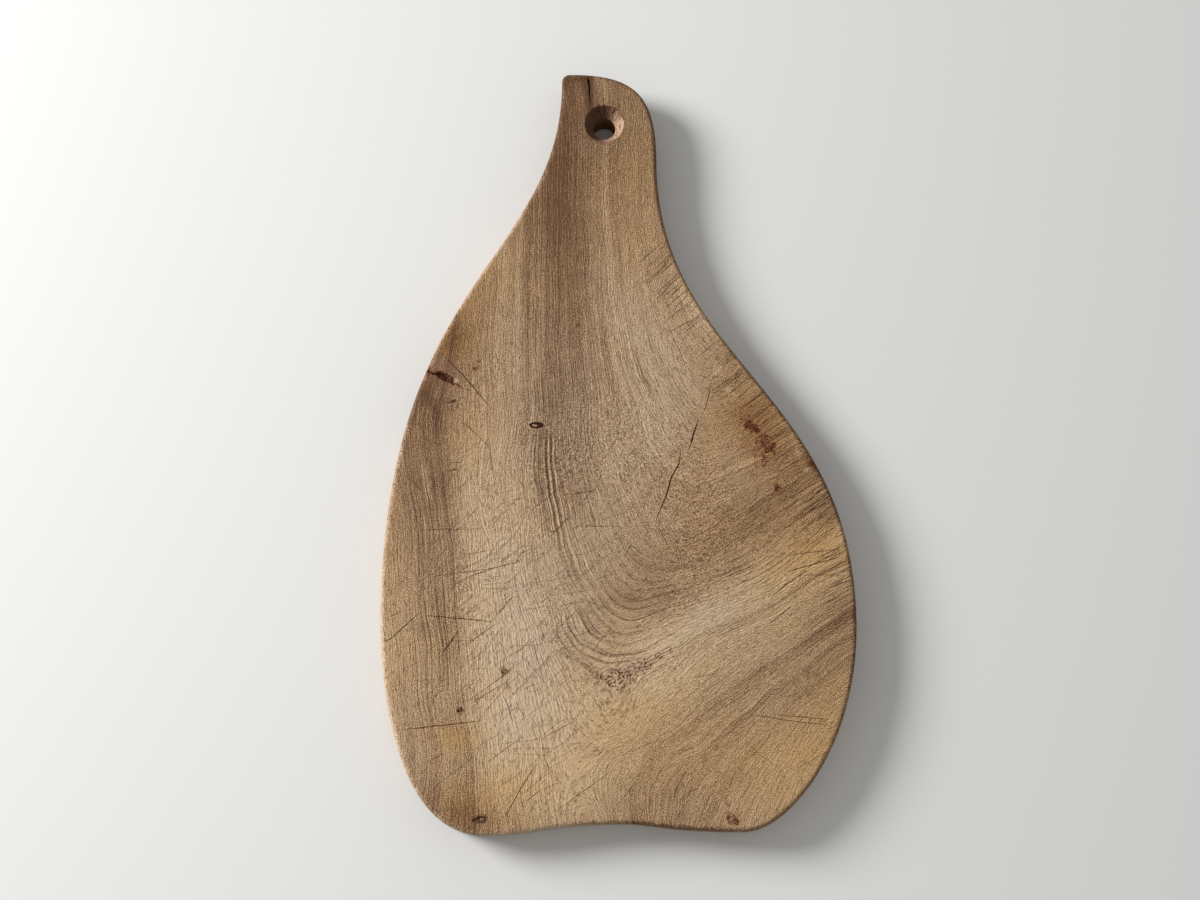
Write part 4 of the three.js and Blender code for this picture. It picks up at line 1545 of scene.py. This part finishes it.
@dataclass
class SpikeKnot:
    """The branch stub that comes in from the left flank, with an open heart.

    Attributes:
        node: Its node in the frame, which gives its shape.
        gap: Room between knot and pocket.
        heart: Course of the open heart on the face, from the flank inwards.
        heart_half: Half the heart's width at each point of its course.
        heart_depth: Its depth there.
        chip: A pale splinter left at the heart's inner end.
    """

    plan: Plan
    node: str = "edge_knot"
    slot: str = "branch_wood"
    gap: float = 0.10
    heart: Course = ((-103.0, 34.5), (-98.0, 32.6), (-95.0, 31.4), (-92.0, 31.2), (-88.5, 29.4), (-84.5, 27.2),
                     (-82.0, 25.8), (-79.0, 23.0))
    heart_half: tuple[float, ...] = (0.6, 0.9, 0.5, 2.2, 2.7, 2.1, 0.8, 0.05)
    heart_depth: tuple[float, ...] = (2.0, 1.6, 0.8, 2.0, 2.4, 1.8, 0.8, 0.2)
    chip: Patch = Patch((-83.2, 27.8), (1.1, 0.8), -20.0)

    def tool(self, room: float) -> bpy.types.Object:
        """The knot's shape without its heart.

        Args:
            room: How much larger than the knot it is, all round.

        Returns:
            A solid to carve with.
        """
        work = bmesh.new()
        for place in dict.fromkeys(tuple(v.co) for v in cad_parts[self.node].data.vertices):
            work.verts.new(place)
        hull = bmesh.ops.convex_hull(work, input=work.verts)
        spare = dict.fromkeys(g for key in ("geom_interior", "geom_unused") for g in hull[key])
        bmesh.ops.delete(work, geom=[g for g in spare if isinstance(g, bmesh.types.BMVert)], context="VERTS")
        bmesh.ops.triangulate(work, faces=work.faces)
        bmesh.ops.recalc_face_normals(work, faces=work.faces)
        for vert in work.verts:
            vert.co += vert.normal * room * MM
        shape = bpy.data.meshes.new("knot_tool")
        work.to_mesh(shape)
        work.free()
        made = bpy.data.objects.new("knot_tool", shape)
        bpy.context.scene.collection.objects.link(made)
        return made

    def _heart_tool(self) -> bpy.types.Object:
        """The open heart as a solid: a ragged trough that comes in from the flank.

        Returns:
            A solid to carve with.
        """
        corners = np.array(self.heart)
        reach = np.concatenate([[0.0], np.cumsum(np.linalg.norm(np.diff(corners, axis=0), axis=1))])
        places = np.arange(0.0, reach[-1], 0.5)
        line = np.column_stack([np.interp(places, reach, corners[:, axis]) for axis in (0, 1)])
        half = np.interp(places, reach, self.heart_half)
        deep = np.interp(places, reach, self.heart_depth)
        run = np.gradient(line, axis=0)
        run /= np.linalg.norm(run, axis=1)[:, None]
        side = np.column_stack([-run[:, 1], run[:, 0]])
        section = np.linspace(-1.0, 1.0, 11)
        bowl = np.append(1.0 - section ** 2, -1.0)
        section = np.append(section, 0.0)
        rings = []
        for place, across, h, d in zip(line, side, half, deep):
            plan = place + across * (section * h)[:, None]
            ring = np.column_stack([plan, self.plan.thickness + 0.6 - bowl * (d + 0.6)])
            ragged = 0.55 * ripple(ring, 1.3, 5.0) + 0.35 * ripple(ring, 0.6, 6.0)
            ring[:, :2] += across * (ragged * min(1.0, h))[:, None]
            ring[:, 2] += 0.5 * ripple(ring, 0.8, 8.0) * (bowl > 0.1)
            rings.append(ring)
        draft = Draft()
        draft.skin(rings)
        draft.cap(rings[0])
        draft.cap(rings[-1])
        return draft.build("heart_tool")

    def build(self, blank: bpy.types.Object) -> bpy.types.Object:
        """Makes the knot.

        Args:
            blank: A copy of the uncut plank, which the knot is cut from.

        Returns:
            The piece, in its pocket.
        """
        carve(blank, self.tool(0.0), Carve.INSIDE)
        carve(blank, self._heart_tool(), Carve.OUTSIDE)
        blank.name = self.node + "_worn"
        return blank

    def opened(self, places: Array) -> Array:
        """How deep in the open heart places lie, 0 to 1."""
        below = self.plan.thickness - places[:, 2]
        near = np.linalg.norm(places[:, None, :2] - np.array(self.heart)[None], axis=2).min(1)
        torn = 0.75 + 0.5 * ripple(places, 0.9, 3.0)
        return torn * rise(below, 0.2, 0.9) * (near < 3.4) * (self.plan.margin(places) > 1.5)


def triangulate(points: Array, edges: Sequence[tuple[int, int]]) -> tuple[Array, Array, Array]:
    """Fills the plane round points with triangles that keep given edges.

    Args:
        points: Places in plan.
        edges: Pairs of points that stay joined.

    Returns:
        The places, with those where edges cross, three corners for each triangle, counter-clockwise, and the point
        that each place comes from, or -1.
    """
    rows = [Vector(point) for point in points]
    places, _, corners, sources = geometry.delaunay_2d_cdt(rows, list(edges), [], 0, 1e-5)[:4]
    return np.array(places), np.array(corners), np.array([ids[0] if ids else -1 for ids in sources])


def along_ring(rank: Array, size: int) -> tuple[Array, Array]:
    """Tells which triangles lie along a closed ring of points, on its left and on its right.

    Args:
        rank: Place in the ring of each triangle's corners, below 0 or above the size for other points.
        size: Number of points in the ring.

    Returns:
        True for each triangle on the left, and for each on the right.
    """
    onward = np.roll(rank, -1, axis=1)
    both = (rank >= 0) & (rank < size) & (onward >= 0) & (onward < size)
    return (both & ((rank + 1) % size == onward)).any(1), (both & ((onward + 1) % size == rank)).any(1)


@dataclass
class Plank:
    """The board itself: face, walls, back, hanging hole, drying check and the knots' pockets.

    Attributes:
        grid: Distance between points over the face.
        back_grid: Distance between points over the back.
        hollow: Depth to which years of use have dished the belly.
        ripples: Height of the broad unevenness of the face.
        fibre: How fast the wood changes across, along and through its fibres.
        check: Course of the drying check in the handle's end.
        check_half: Half its width at the end.
        check_depth: Its depth at the end.
        knife: Marks in the face.
        scuffs: Marks in the back.
    """

    plan: Plan
    figure: CrotchFigure
    knife: KnifeWork
    scuffs: KnifeWork
    small_knots: Sequence[DeadKnot]
    spike: SpikeKnot
    finish: WoodFinish
    node: str = "board"
    slot: str = "board_wood"
    grid: float = 1.9
    back_grid: float = 3.2
    hollow: float = 0.5
    ripples: float = 0.05
    round_steps: int = 6
    wall_rings: int = 8
    hole_sides: int = 200
    fibre: tuple[float, float, float] = (1.0, 0.22, 0.5)
    check: Course = ((-16.2, 203.0), (-15.6, 198.4), (-14.7, 190.2), (-14.4, 181.6))
    check_half: float = 0.8
    check_depth: float = 8.0

    def edge_radius(self, points: Array) -> Array:
        """Radius of the worn edge, which varies along it and stays true beside the spike knot."""
        away = rise(np.linalg.norm(points[:, :2] - self.spike.heart[0], axis=1), 22.0, 40.0)
        return self.plan.edge_round * (1.0 + away * (0.16 * ripple(points[:, :2], 26.0, 9.0) - 0.04))

    def wear(self, points: Array) -> Array:
        """How far the face is worn down.

        Args:
            points: Places on the face.

        Returns:
            A depth in millimetres for each place.
        """
        belly = np.linalg.norm((points[:, :2] - self.knife.belly) / (78.0, 98.0), axis=1)
        inner = rise(self.plan.margin(points), 4.0, 16.0)
        uneven = self.ripples * (1.0 + ripple(points[:, :2], 17.0, 4.0) + 0.5 * ripple(points[:, :2], 7.0, 5.0))
        return inner * (self.hollow * (1.0 - rise(belly, 0.0, 1.1)) + np.maximum(uneven, 0.0))

    def face_height(self, points: Array) -> Array:
        """Height of the cutting face, with its rounded edge and every mark.

        Args:
            points: Places in plan.

        Returns:
            A height above the back for each place.
        """
        depth = self.knife.sunk(points)[0]
        return self.plan.thickness - self._edge_drop(points) - self.wear(points) - depth

    def _back_height(self, points: Array) -> Array:
        """Height of the back, with its rounded edge, scuffs and unevenness."""
        inner = rise(self.plan.margin(points), 4.0, 16.0)
        uneven = self.ripples * np.maximum(ripple(points[:, :2], 21.0, 8.0), 0.0)
        return self._edge_drop(points) + inner * uneven + self.scuffs.sunk(points)[0]

    def _edge_drop(self, points: Array) -> Array:
        """How far a rounded edge lies below its face."""
        radius = self.edge_radius(points)
        over = np.clip(1.0 - self.plan.margin(points) / radius, 0.0, 1.0)
        return radius * (1.0 - np.sqrt(1.0 - over ** 2))

    def _lattice(self, low: Array, high: Array, spacing: float, seed: int) -> Array:
        """Uneven rows of points over the flat of the plan.

        Args:
            low: Lower left corner of the part to fill.
            high: Its upper right corner.
            spacing: Distance between points.
            seed: Seeds their unevenness.

        Returns:
            Places in plan.
        """
        chance = np.random.default_rng(seed)
        xs = np.arange(low[0], high[0], spacing)
        ys = np.arange(low[1], high[1], spacing * 0.87)
        spread = np.array([(x + spacing * 0.5 * (row % 2), y) for row, y in enumerate(ys) for x in xs])
        spread += chance.uniform(-0.18, 0.18, spread.shape) * spacing
        spread = spread[within(spread, self.plan.outline)]
        return spread[self.plan.margin(spread) > self.plan.edge_round + 0.6 * spacing]

    def _strewn_points(self, spacing: float, zones: Sequence[Zone], seed: int) -> Array:
        """Points spread over the plan, closer in zones, with rings that follow the rounded edge.

        Args:
            spacing: Distance between points.
            zones: Parts with a finer mesh.
            seed: Seeds their unevenness.

        Returns:
            Places in plan.
        """
        spread = self._lattice(self.plan.outline.min(0), self.plan.outline.max(0), spacing, seed)
        for zone in zones:
            reach = max(zone.reach)
            fine = self._lattice(np.array(zone.middle) - reach, np.array(zone.middle) + reach, zone.spacing, seed)
            spread = np.vstack([spread[~zone.covers(spread)], fine[zone.covers(fine)]])
        angles = np.linspace(0.0, np.pi / 2, self.round_steps + 1)[1:]
        insets = [*(self.plan.edge_round * (1.0 - np.cos(angles))), self.plan.edge_round + 0.45 * spacing]
        rings = []
        for inset in insets:
            ring = self.plan.outline + self.plan.inward() * inset
            rings.append(ring[self.plan.margin(ring) > 0.97 * inset])
        return np.vstack([spread, *rings])

    def _fill(
        self, loops: Sequence[Array], knife: KnifeWork, zones: Sequence[Zone], spacing: float, seed: int
    ) -> tuple[Array, Array]:
        """Fills the outline with triangles, round its holes and along the marks.

        Args:
            loops: Holes in the face.
            knife: Marks whose lips and bottoms become edges, and pits.
            zones: Parts with a finer mesh.
            spacing: Distance between points.
            seed: Seeds their unevenness.

        Returns:
            Places in plan, and three corners for each triangle.
        """
        spread = self._strewn_points(spacing, zones, seed)
        near = np.zeros(len(spread), bool)
        for mark in knife.marks:
            low, high = mark.stations.min(0) - spacing, mark.stations.max(0) + spacing
            beside = np.flatnonzero(((spread > low) & (spread < high)).all(1))
            close = np.linalg.norm(spread[beside, None] - mark.stations[None], axis=2).min(1)
            near[beside] |= close < 0.3 * spacing
        for loop in loops:
            near |= within(spread, loop.mean(0) + (loop - loop.mean(0)) * 1.06)
        points = [spread[~near]]
        edges: list[tuple[int, int]] = []
        first = count = len(points[0])
        for ring in (self.plan.outline, *loops):
            points.append(ring)
            edges += [(count + i, count + (i + 1) % len(ring)) for i in range(len(ring))]
            count += len(ring)
        for mark in knife.marks:
            left, right = mark.lips()
            inner = len(left)
            points += [mark.stations, left, right]
            for chain in (range(inner + 2), [0, *range(inner + 2, 2 * inner + 2), inner + 1],
                          [0, *range(2 * inner + 2, 3 * inner + 2), inner + 1]):
                steps = list(chain)
                edges += [(count + a, count + b) for a, b in zip(steps, steps[1:])]
            count += 3 * inner + 2
        turn = np.linspace(0.0, 2 * np.pi, 12, endpoint=False)
        circle = np.column_stack([np.cos(turn), np.sin(turn)])
        for pit in knife.pits:
            points += [np.array([pit.middle]), *(pit.middle + pit.radius * share * circle for share in (0.45, 0.75, 1.0))]
        places, corners, sources = triangulate(np.vstack(points), edges)
        middles = places[corners].mean(1)
        inner, outer = along_ring(sources[corners] - first, len(self.plan.outline))
        kept = (within(middles, self.plan.outline) | inner) & ~outer
        for loop in loops:
            kept &= ~within(middles, loop)
        return places, corners[kept]

    def _hole_rim(self) -> Array:
        """The rim of the countersink in plan, torn where it meets the ends of the fibres."""
        turn = np.linspace(0.0, 2 * np.pi, self.hole_sides, endpoint=False)
        run = np.column_stack([np.cos(turn), np.sin(turn)])
        tear = np.abs(ripple(run * 10.0, 0.8, 3.0)) * (0.25 + 2.6 * np.clip(run[:, 1], 0.0, 1.0) ** 2)
        return self.plan.hole + run * (self.plan.sink - 0.1 + tear)[:, None]

    def _bore_hole(self, draft: Draft) -> Array:
        """Adds the countersink and the bore.

        Args:
            draft: The plank's mesh.

        Returns:
            The hole's loop in the back.
        """
        rim = self._hole_rim()
        turn = np.linspace(0.0, 2 * np.pi, self.hole_sides, endpoint=False)
        run = np.column_stack([np.cos(turn), np.sin(turn)])
        lip = np.column_stack([rim, self.face_height(rim)])
        mouth = np.linalg.norm(rim - self.plan.hole, axis=1)
        shoulder = self.plan.thickness - self.plan.sink_depth
        rings = [lip]
        for share in np.linspace(0.0, 1.0, 13)[1:]:
            radius = mouth + share * (self.plan.bore - mouth)
            height = lip[:, 2] + share * (shoulder - lip[:, 2])
            place = np.column_stack([self.plan.hole + run * radius[:, None], height])
            radius += 0.42 * ripple(place * self.fibre, 0.8, 2.0) * (1.0 - 0.6 * share)
            rings.append(np.column_stack([self.plan.hole + run * radius[:, None], height]))
        for height in np.linspace(shoulder, 0.9, 9)[1:]:
            place = np.column_stack([self.plan.hole + run * self.plan.bore, np.full(self.hole_sides, height)])
            radius = self.plan.bore + 0.1 * ripple(place, 1.5, 7.0)
            rings.append(np.column_stack([self.plan.hole + run * radius[:, None], place[:, 2]]))
        back = self.plan.hole + run * (self.plan.bore + 0.8)
        rings.append(np.column_stack([back, self._back_height(back)]))
        draft.skin(rings)
        return back

    def _walls(self, draft: Draft) -> None:
        """Adds the walls between the two rounded edges."""
        outline = self.plan.outline
        upper = self.face_height(outline)
        lower = self._edge_drop(outline)
        rings = []
        for share in np.linspace(0.0, 1.0, self.wall_rings + 1):
            height = lower + share * (upper - lower)
            place = np.column_stack([outline, height])
            inset = 0.12 * (1.0 + ripple(place, 9.0, 6.0)) * math.sin(math.pi * share)
            rings.append(np.column_stack([outline + self.plan.inward() * inset[:, None], height]))
        draft.skin(rings)

    def _check_tool(self) -> bpy.types.Object:
        """The drying check as a solid: a ragged wedge that thins out down the handle.

        Returns:
            A solid to cut out of the plank.
        """
        corners = np.array(self.check)
        reach = np.concatenate([[0.0], np.cumsum(np.linalg.norm(np.diff(corners, axis=0), axis=1))])
        places = np.linspace(0.0, reach[-1], 22)
        line = np.column_stack([np.interp(places, reach, corners[:, axis]) for axis in (0, 1)])
        line[:, 0] += 0.4 * ripple(line, 3.0, 12.0)
        left = 1.0 - places / reach[-1]
        half = self.check_half * np.clip(left, 0.03, 1.0) ** 0.6 * (1.0 + 0.6 * ripple(line, 1.6, 13.0))
        half *= 1.0 - 0.85 * rise(line[:, 1], 195.0, 198.5)
        deep = self.check_depth * np.clip(left, 0.05, 1.0) ** 0.7
        top = self.plan.thickness
        rings = []
        for (x, y), h, d in zip(line, half, deep):
            grown = h * (1.0 + 1.0 / d)
            rings.append(np.array([(x - grown, y, top + 1.0), (x - 0.55 * h, y, top - 0.5 * d), (x, y, top - d),
                                   (x + 0.5 * h, y, top - 0.45 * d), (x + grown, y, top + 1.0)]))
        draft = Draft()
        draft.skin(rings)
        draft.cap(rings[0])
        draft.cap(rings[-1])
        return draft.build("check_tool")

    def blank(self) -> bpy.types.Object:
        """Makes the plank as it is without its check and its spike knot's pocket.

        Returns:
            The plain piece.
        """
        draft = Draft()
        mouths = [knot.mouth() for knot in self.small_knots]
        back_loop = self._bore_hole(draft)
        zones = [*ZONES, *(knot.zone() for knot in self.small_knots)]
        places, corners = self._fill([self._hole_rim(), *mouths], self.knife, zones, self.grid, 3)
        draft.add(np.column_stack([places, self.face_height(places)]), corners)
        for knot, mouth in zip(self.small_knots, mouths):
            knot.line_pocket(draft, np.column_stack([mouth, self.face_height(mouth)]))
        self._walls(draft)
        places, corners = self._fill([back_loop], self.scuffs, [], self.back_grid, 4)
        draft.add(np.column_stack([places, self._back_height(places)]), corners[:, ::-1])
        return draft.build("board_plank")

    def build(self, piece: bpy.types.Object) -> bpy.types.Object:
        """Cuts check and pocket into the blank and dresses it.

        Args:
            piece: The blank.

        Returns:
            The finished piece.
        """
        carve(piece, self.spike.tool(self.spike.gap), Carve.OUTSIDE)
        carve(piece, self._check_tool(), Carve.OUTSIDE)
        return self.dress(piece, self.finish)

    def dress(self, piece: bpy.types.Object, finish: WoodFinish) -> bpy.types.Object:
        """Gives a piece of the plank the numbers that the wood's material reads, and the material.

        Args:
            piece: The plank, or a piece cut out of it.
            finish: Its wood.

        Returns:
            The dressed piece.
        """
        places = vertices(piece)
        margin = self.plan.margin(places)
        below = self.plan.thickness - places[:, 2]
        upper = below < 1.0
        carry(piece, "growth", self.figure.growth(places))
        weights = [wash.weight(places) for wash in WASHES]
        sums = {
            name: sum(getattr(wash, name) * weight for wash, weight in zip(WASHES, weights))
            for name in ("shade", "warm", "calm", "lined", "rough", "blush")
        }
        # Painted light on the rounded edge: painted shade on the right, partly dirt, and a paler, greyer painted
        # highlight on the left.
        rim = (1.0 - rise(margin, 0.6, 2.4)) * (below < 8.0)
        right = rise(places[:, 0], -60.0, 20.0)
        sums["shade"] += rim * (0.40 * right - 0.15 * (1.0 - right))
        sums["warm"] -= 0.5 * rim * (1.0 - right)
        sums["calm"] = np.clip(sums["calm"], 0.0, 1.0)
        sums["blush"] *= 1.0 - 0.8 * rise(below, 0.5, 5.0)
        for name, values in sums.items():
            carry(piece, name, values)
        self._carry_hole(piece, places)
        lower = places[:, 2] < 1.0
        stain = np.maximum(self.knife.sunk(places)[1] * (below < 6.0), self.scuffs.sunk(places)[1] * lower)
        stain = np.maximum(stain, stained(places, CHARS, 0.5) * (below < 3.0))
        for knot in self.small_knots:
            stain = np.maximum(stain, knot.soiled(places) * upper)
        level = self.plan.edge_round
        # Painted shade: faces lying deep below the face and away from the outline, such as pocket walls, are darkened.
        shaded_hollows = (margin > 1.0) & (places[:, 2] > level) & (below > level)
        whole = 1.0 - self.spike.chip.weight(places)
        # The spike knot's open heart: dark heartwood plus painted shade that grows with depth in the trough.
        heart = self.spike.opened(places) * whole
        deep = np.maximum(0.95 * heart, 0.9 * shaded_hollows)
        reach = np.linalg.norm(places[:, :2] - self.plan.hole, axis=1)
        in_hole = (reach < 1.2 * self.plan.sink) & (below > 0.4)
        in_bore = in_hole & (below > self.plan.sink_depth + 0.5)
        torn = rise(ripple(places * self.fibre, 0.6, 4.0), -0.1, 0.5) * rise(places[:, 1] - self.plan.hole[1], 2.0, 8.0)
        # In the hole: painted shade in the bore and dark torn fibres at the countersink's top. Elsewhere: dirt and
        # painted shade.
        carry(piece, "grime", np.maximum(stain, np.where(in_hole, np.maximum(0.45 * in_bore, 0.7 * torn), deep)))
        carry(piece, "red", np.maximum(stained(places, BLOTCHES, 0.6) * upper, heart) * whole)
        carry(piece, "burl", stained(places, BURL, 0.4) * upper)
        belly = np.linalg.norm((places[:, :2] - self.knife.belly) / (110.0, 125.0), axis=1)
        hacked = 0.35 + 0.65 * np.clip(sums["rough"], 0.0, 1.0)
        carry(piece, "worn", hacked * (1.0 - rise(belly, 0.55, 1.15)) * (upper + 0.8 * lower))
        carry(piece, "gritty", 1.0 - 0.6 * rise(below, 0.6, 3.0) * rise(places[:, 2], 0.2, 3.0))
        finish_mesh(piece, 32.0)
        piece.data.materials.clear()
        piece.data.materials.append(finish.dress())
        return piece

    def _carry_hole(self, piece: bpy.types.Object, places: Array) -> None:
        """Marks the countersink's painted light, from painted shade at its upper left to a painted highlight at its
        lower right.
        """
        reach = np.linalg.norm(places[:, :2] - self.plan.hole, axis=1)
        below = self.plan.thickness - places[:, 2]
        in_cone = (reach < 1.2 * self.plan.sink) & (below > 0.4) & (below < self.plan.sink_depth + 0.5)
        # side runs from the upper left, painted as shaded, to the lower right, painted as lit.
        side = (places[:, :2] - self.plan.hole) @ (0.9, -0.4) / np.maximum(reach, 0.1)
        carry(piece, "sink", in_cone * (0.6 + 0.4 * side))


@dataclass
class Studio:
    """A plain pale floor, soft light from the left and the camera.

    Attributes:
        lens: Focal length, for a sensor 36 mm wide.
        aim: Point that the camera looks at.
        range: Its distance from the aim.
        tilt: Lean of the view from straight down, in degrees.
        key_way: Direction to the main light.
        key_range: Its distance.
    """

    lens: float = 50.0
    aim: tuple[float, float, float] = (-9.1, -8.5, 17.5)
    range: float = 850.0
    tilt: float = 14.0
    key_way: tuple[float, float, float] = (-0.82, 0.28, 0.48)
    key_range: float = 2000.0
    key_size: float = 850.0
    key_power: float = 51.0
    sky: float = 0.42
    floor_half: float = 5000.0
    floor_tone: str = "dcdcda"

    def build(self) -> None:
        """Sets up floor, light and camera."""
        self._floor()
        self._light()
        self._camera()

    def _floor(self) -> None:
        """Lays the floor just under the plank."""
        corners = [(-1, -1), (1, -1), (1, 1), (-1, 1)]
        draft = Draft()
        draft.add(np.array([(x * self.floor_half, y * self.floor_half, -0.3) for x, y in corners]), [(0, 1, 2, 3)])
        floor = draft.build("floor")
        material, s = new_material("pale_floor")
        s.surface(tint(self.floor_tone), 0.9, None, 0.0)
        floor.data.materials.append(material)

    def _light(self) -> None:
        """Hangs the main light and fills the rest with an even sky."""
        lamp = bpy.data.lights.new("key", "AREA")
        lamp.shape = "DISK"
        lamp.size = self.key_size * MM
        lamp.energy = self.key_power
        key = bpy.data.objects.new("key", lamp)
        way = Vector(self.key_way).normalized()
        key.location = Vector(self.aim) * MM + way * self.key_range * MM
        key.rotation_euler = way.to_track_quat("Z", "Y").to_euler()
        bpy.context.scene.collection.objects.link(key)
        world = bpy.data.worlds.new("studio")
        world.use_nodes = True
        bpy.context.scene.world = world
        s = Shader(world.node_tree)
        path = s.node("ShaderNodeLightPath", {}, {})
        seen = Value(s, path.outputs["Is Camera Ray"]).most(Value(s, path.outputs["Is Glossy Ray"]))
        seen = seen.most(Value(s, path.outputs["Is Transmission Ray"]))
        dim = s.node("ShaderNodeBackground", {}, {"Color": (1.0, 1.0, 1.0, 1.0), "Strength": self.sky})
        plain = s.node("ShaderNodeBackground", {}, {"Color": tint(self.floor_tone), "Strength": 1.0})
        both = s.node("ShaderNodeMixShader", {}, {0: seen, 1: dim.outputs[0], 2: plain.outputs[0]})
        s.node("ShaderNodeOutputWorld", {}, {"Surface": both.outputs[0]})

    def _camera(self) -> None:
        """Places the camera and picks the plain view transform."""
        data = bpy.data.cameras.new("camera")
        data.lens = self.lens
        data.sensor_width = 36.0
        camera = bpy.data.objects.new("camera", data)
        tilt = math.radians(self.tilt)
        back = Vector((0.0, -math.sin(tilt), math.cos(tilt)))
        camera.location = (Vector(self.aim) + back * self.range) * MM
        camera.rotation_euler = (tilt, 0.0, 0.0)
        bpy.context.scene.collection.objects.link(camera)
        bpy.context.scene.camera = camera
        bpy.context.scene.view_settings.view_transform = "Standard"


def place(piece: bpy.types.Object, node: str, slot: str) -> None:
    """Makes a piece stand for its node and ride on the body.

    Args:
        piece: The dressed piece.
        node: The node that it stands for.
        slot: The record's slot that its finish comes from; not used.
    """
    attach(piece, BODY)
    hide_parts(node)
    LOG.info("%s: %d vertices, %d faces", piece.name, len(piece.data.vertices), len(piece.data.polygons))


def main() -> None:
    """Builds the board, its knots and the studio."""
    logging.basicConfig(level=logging.INFO, format="%(message)s")
    plan = Plan()
    dead = KnotFinish("dead_knot_wood", "3a2015", "b08468", "1a0c08")
    sound = KnotFinish("sound_knot_wood", "5a3d28", "9c7c5c", "2a170e")
    pin = DeadKnot("pin_knot", dead, "dark_branch_wood", 1.3, ((-2.2, 0.2), (-0.2, -0.3)), ring=0.9, halo=1.0)
    foot = DeadKnot(
        "foot_knot", sound, "dark_branch_wood", 4.1, ((-0.6, 0.3), (1.0, -0.1)),
        ring=-0.1, halo=0.35, smudge=0.8, rim=0.03, gap=0.04,
    )
    spike = SpikeKnot(plan)
    keep_off = [(tuple(plan.hole), 1.3 * plan.sink)]
    keep_off += [(tuple(knot.middle), 1.5 * float(knot.half.max())) for knot in (pin, foot)]
    known = ((Cut.CRACK, 0.5, CRACKS), (Cut.SLASH, 0.25, SLASHES), (Cut.SCORE, 0.2, SCORES))
    knife = KnifeWork(plan, keep_off, known, PITS)
    scuffs = KnifeWork(plan, keep_off[:1], hairlines=90, edge_cuts=0, strewn_spread=(52.0, 80.0), seed=23)
    plank = Plank(plan, CrotchFigure(plan.thickness), knife, scuffs, (pin, foot), spike, WoodFinish())
    blank = plank.blank()
    stub = blank.copy()
    stub.data = blank.data.copy()
    bpy.context.scene.collection.objects.link(stub)
    place(plank.build(blank), plank.node, plank.slot)
    place(plank.dress(spike.build(stub), WoodFinish("branch_wood")), spike.node, spike.slot)
    for knot in (pin, foot):
        place(knot.build(), knot.node, knot.slot)
    Studio().build()


if __name__ == "__main__":
    main()
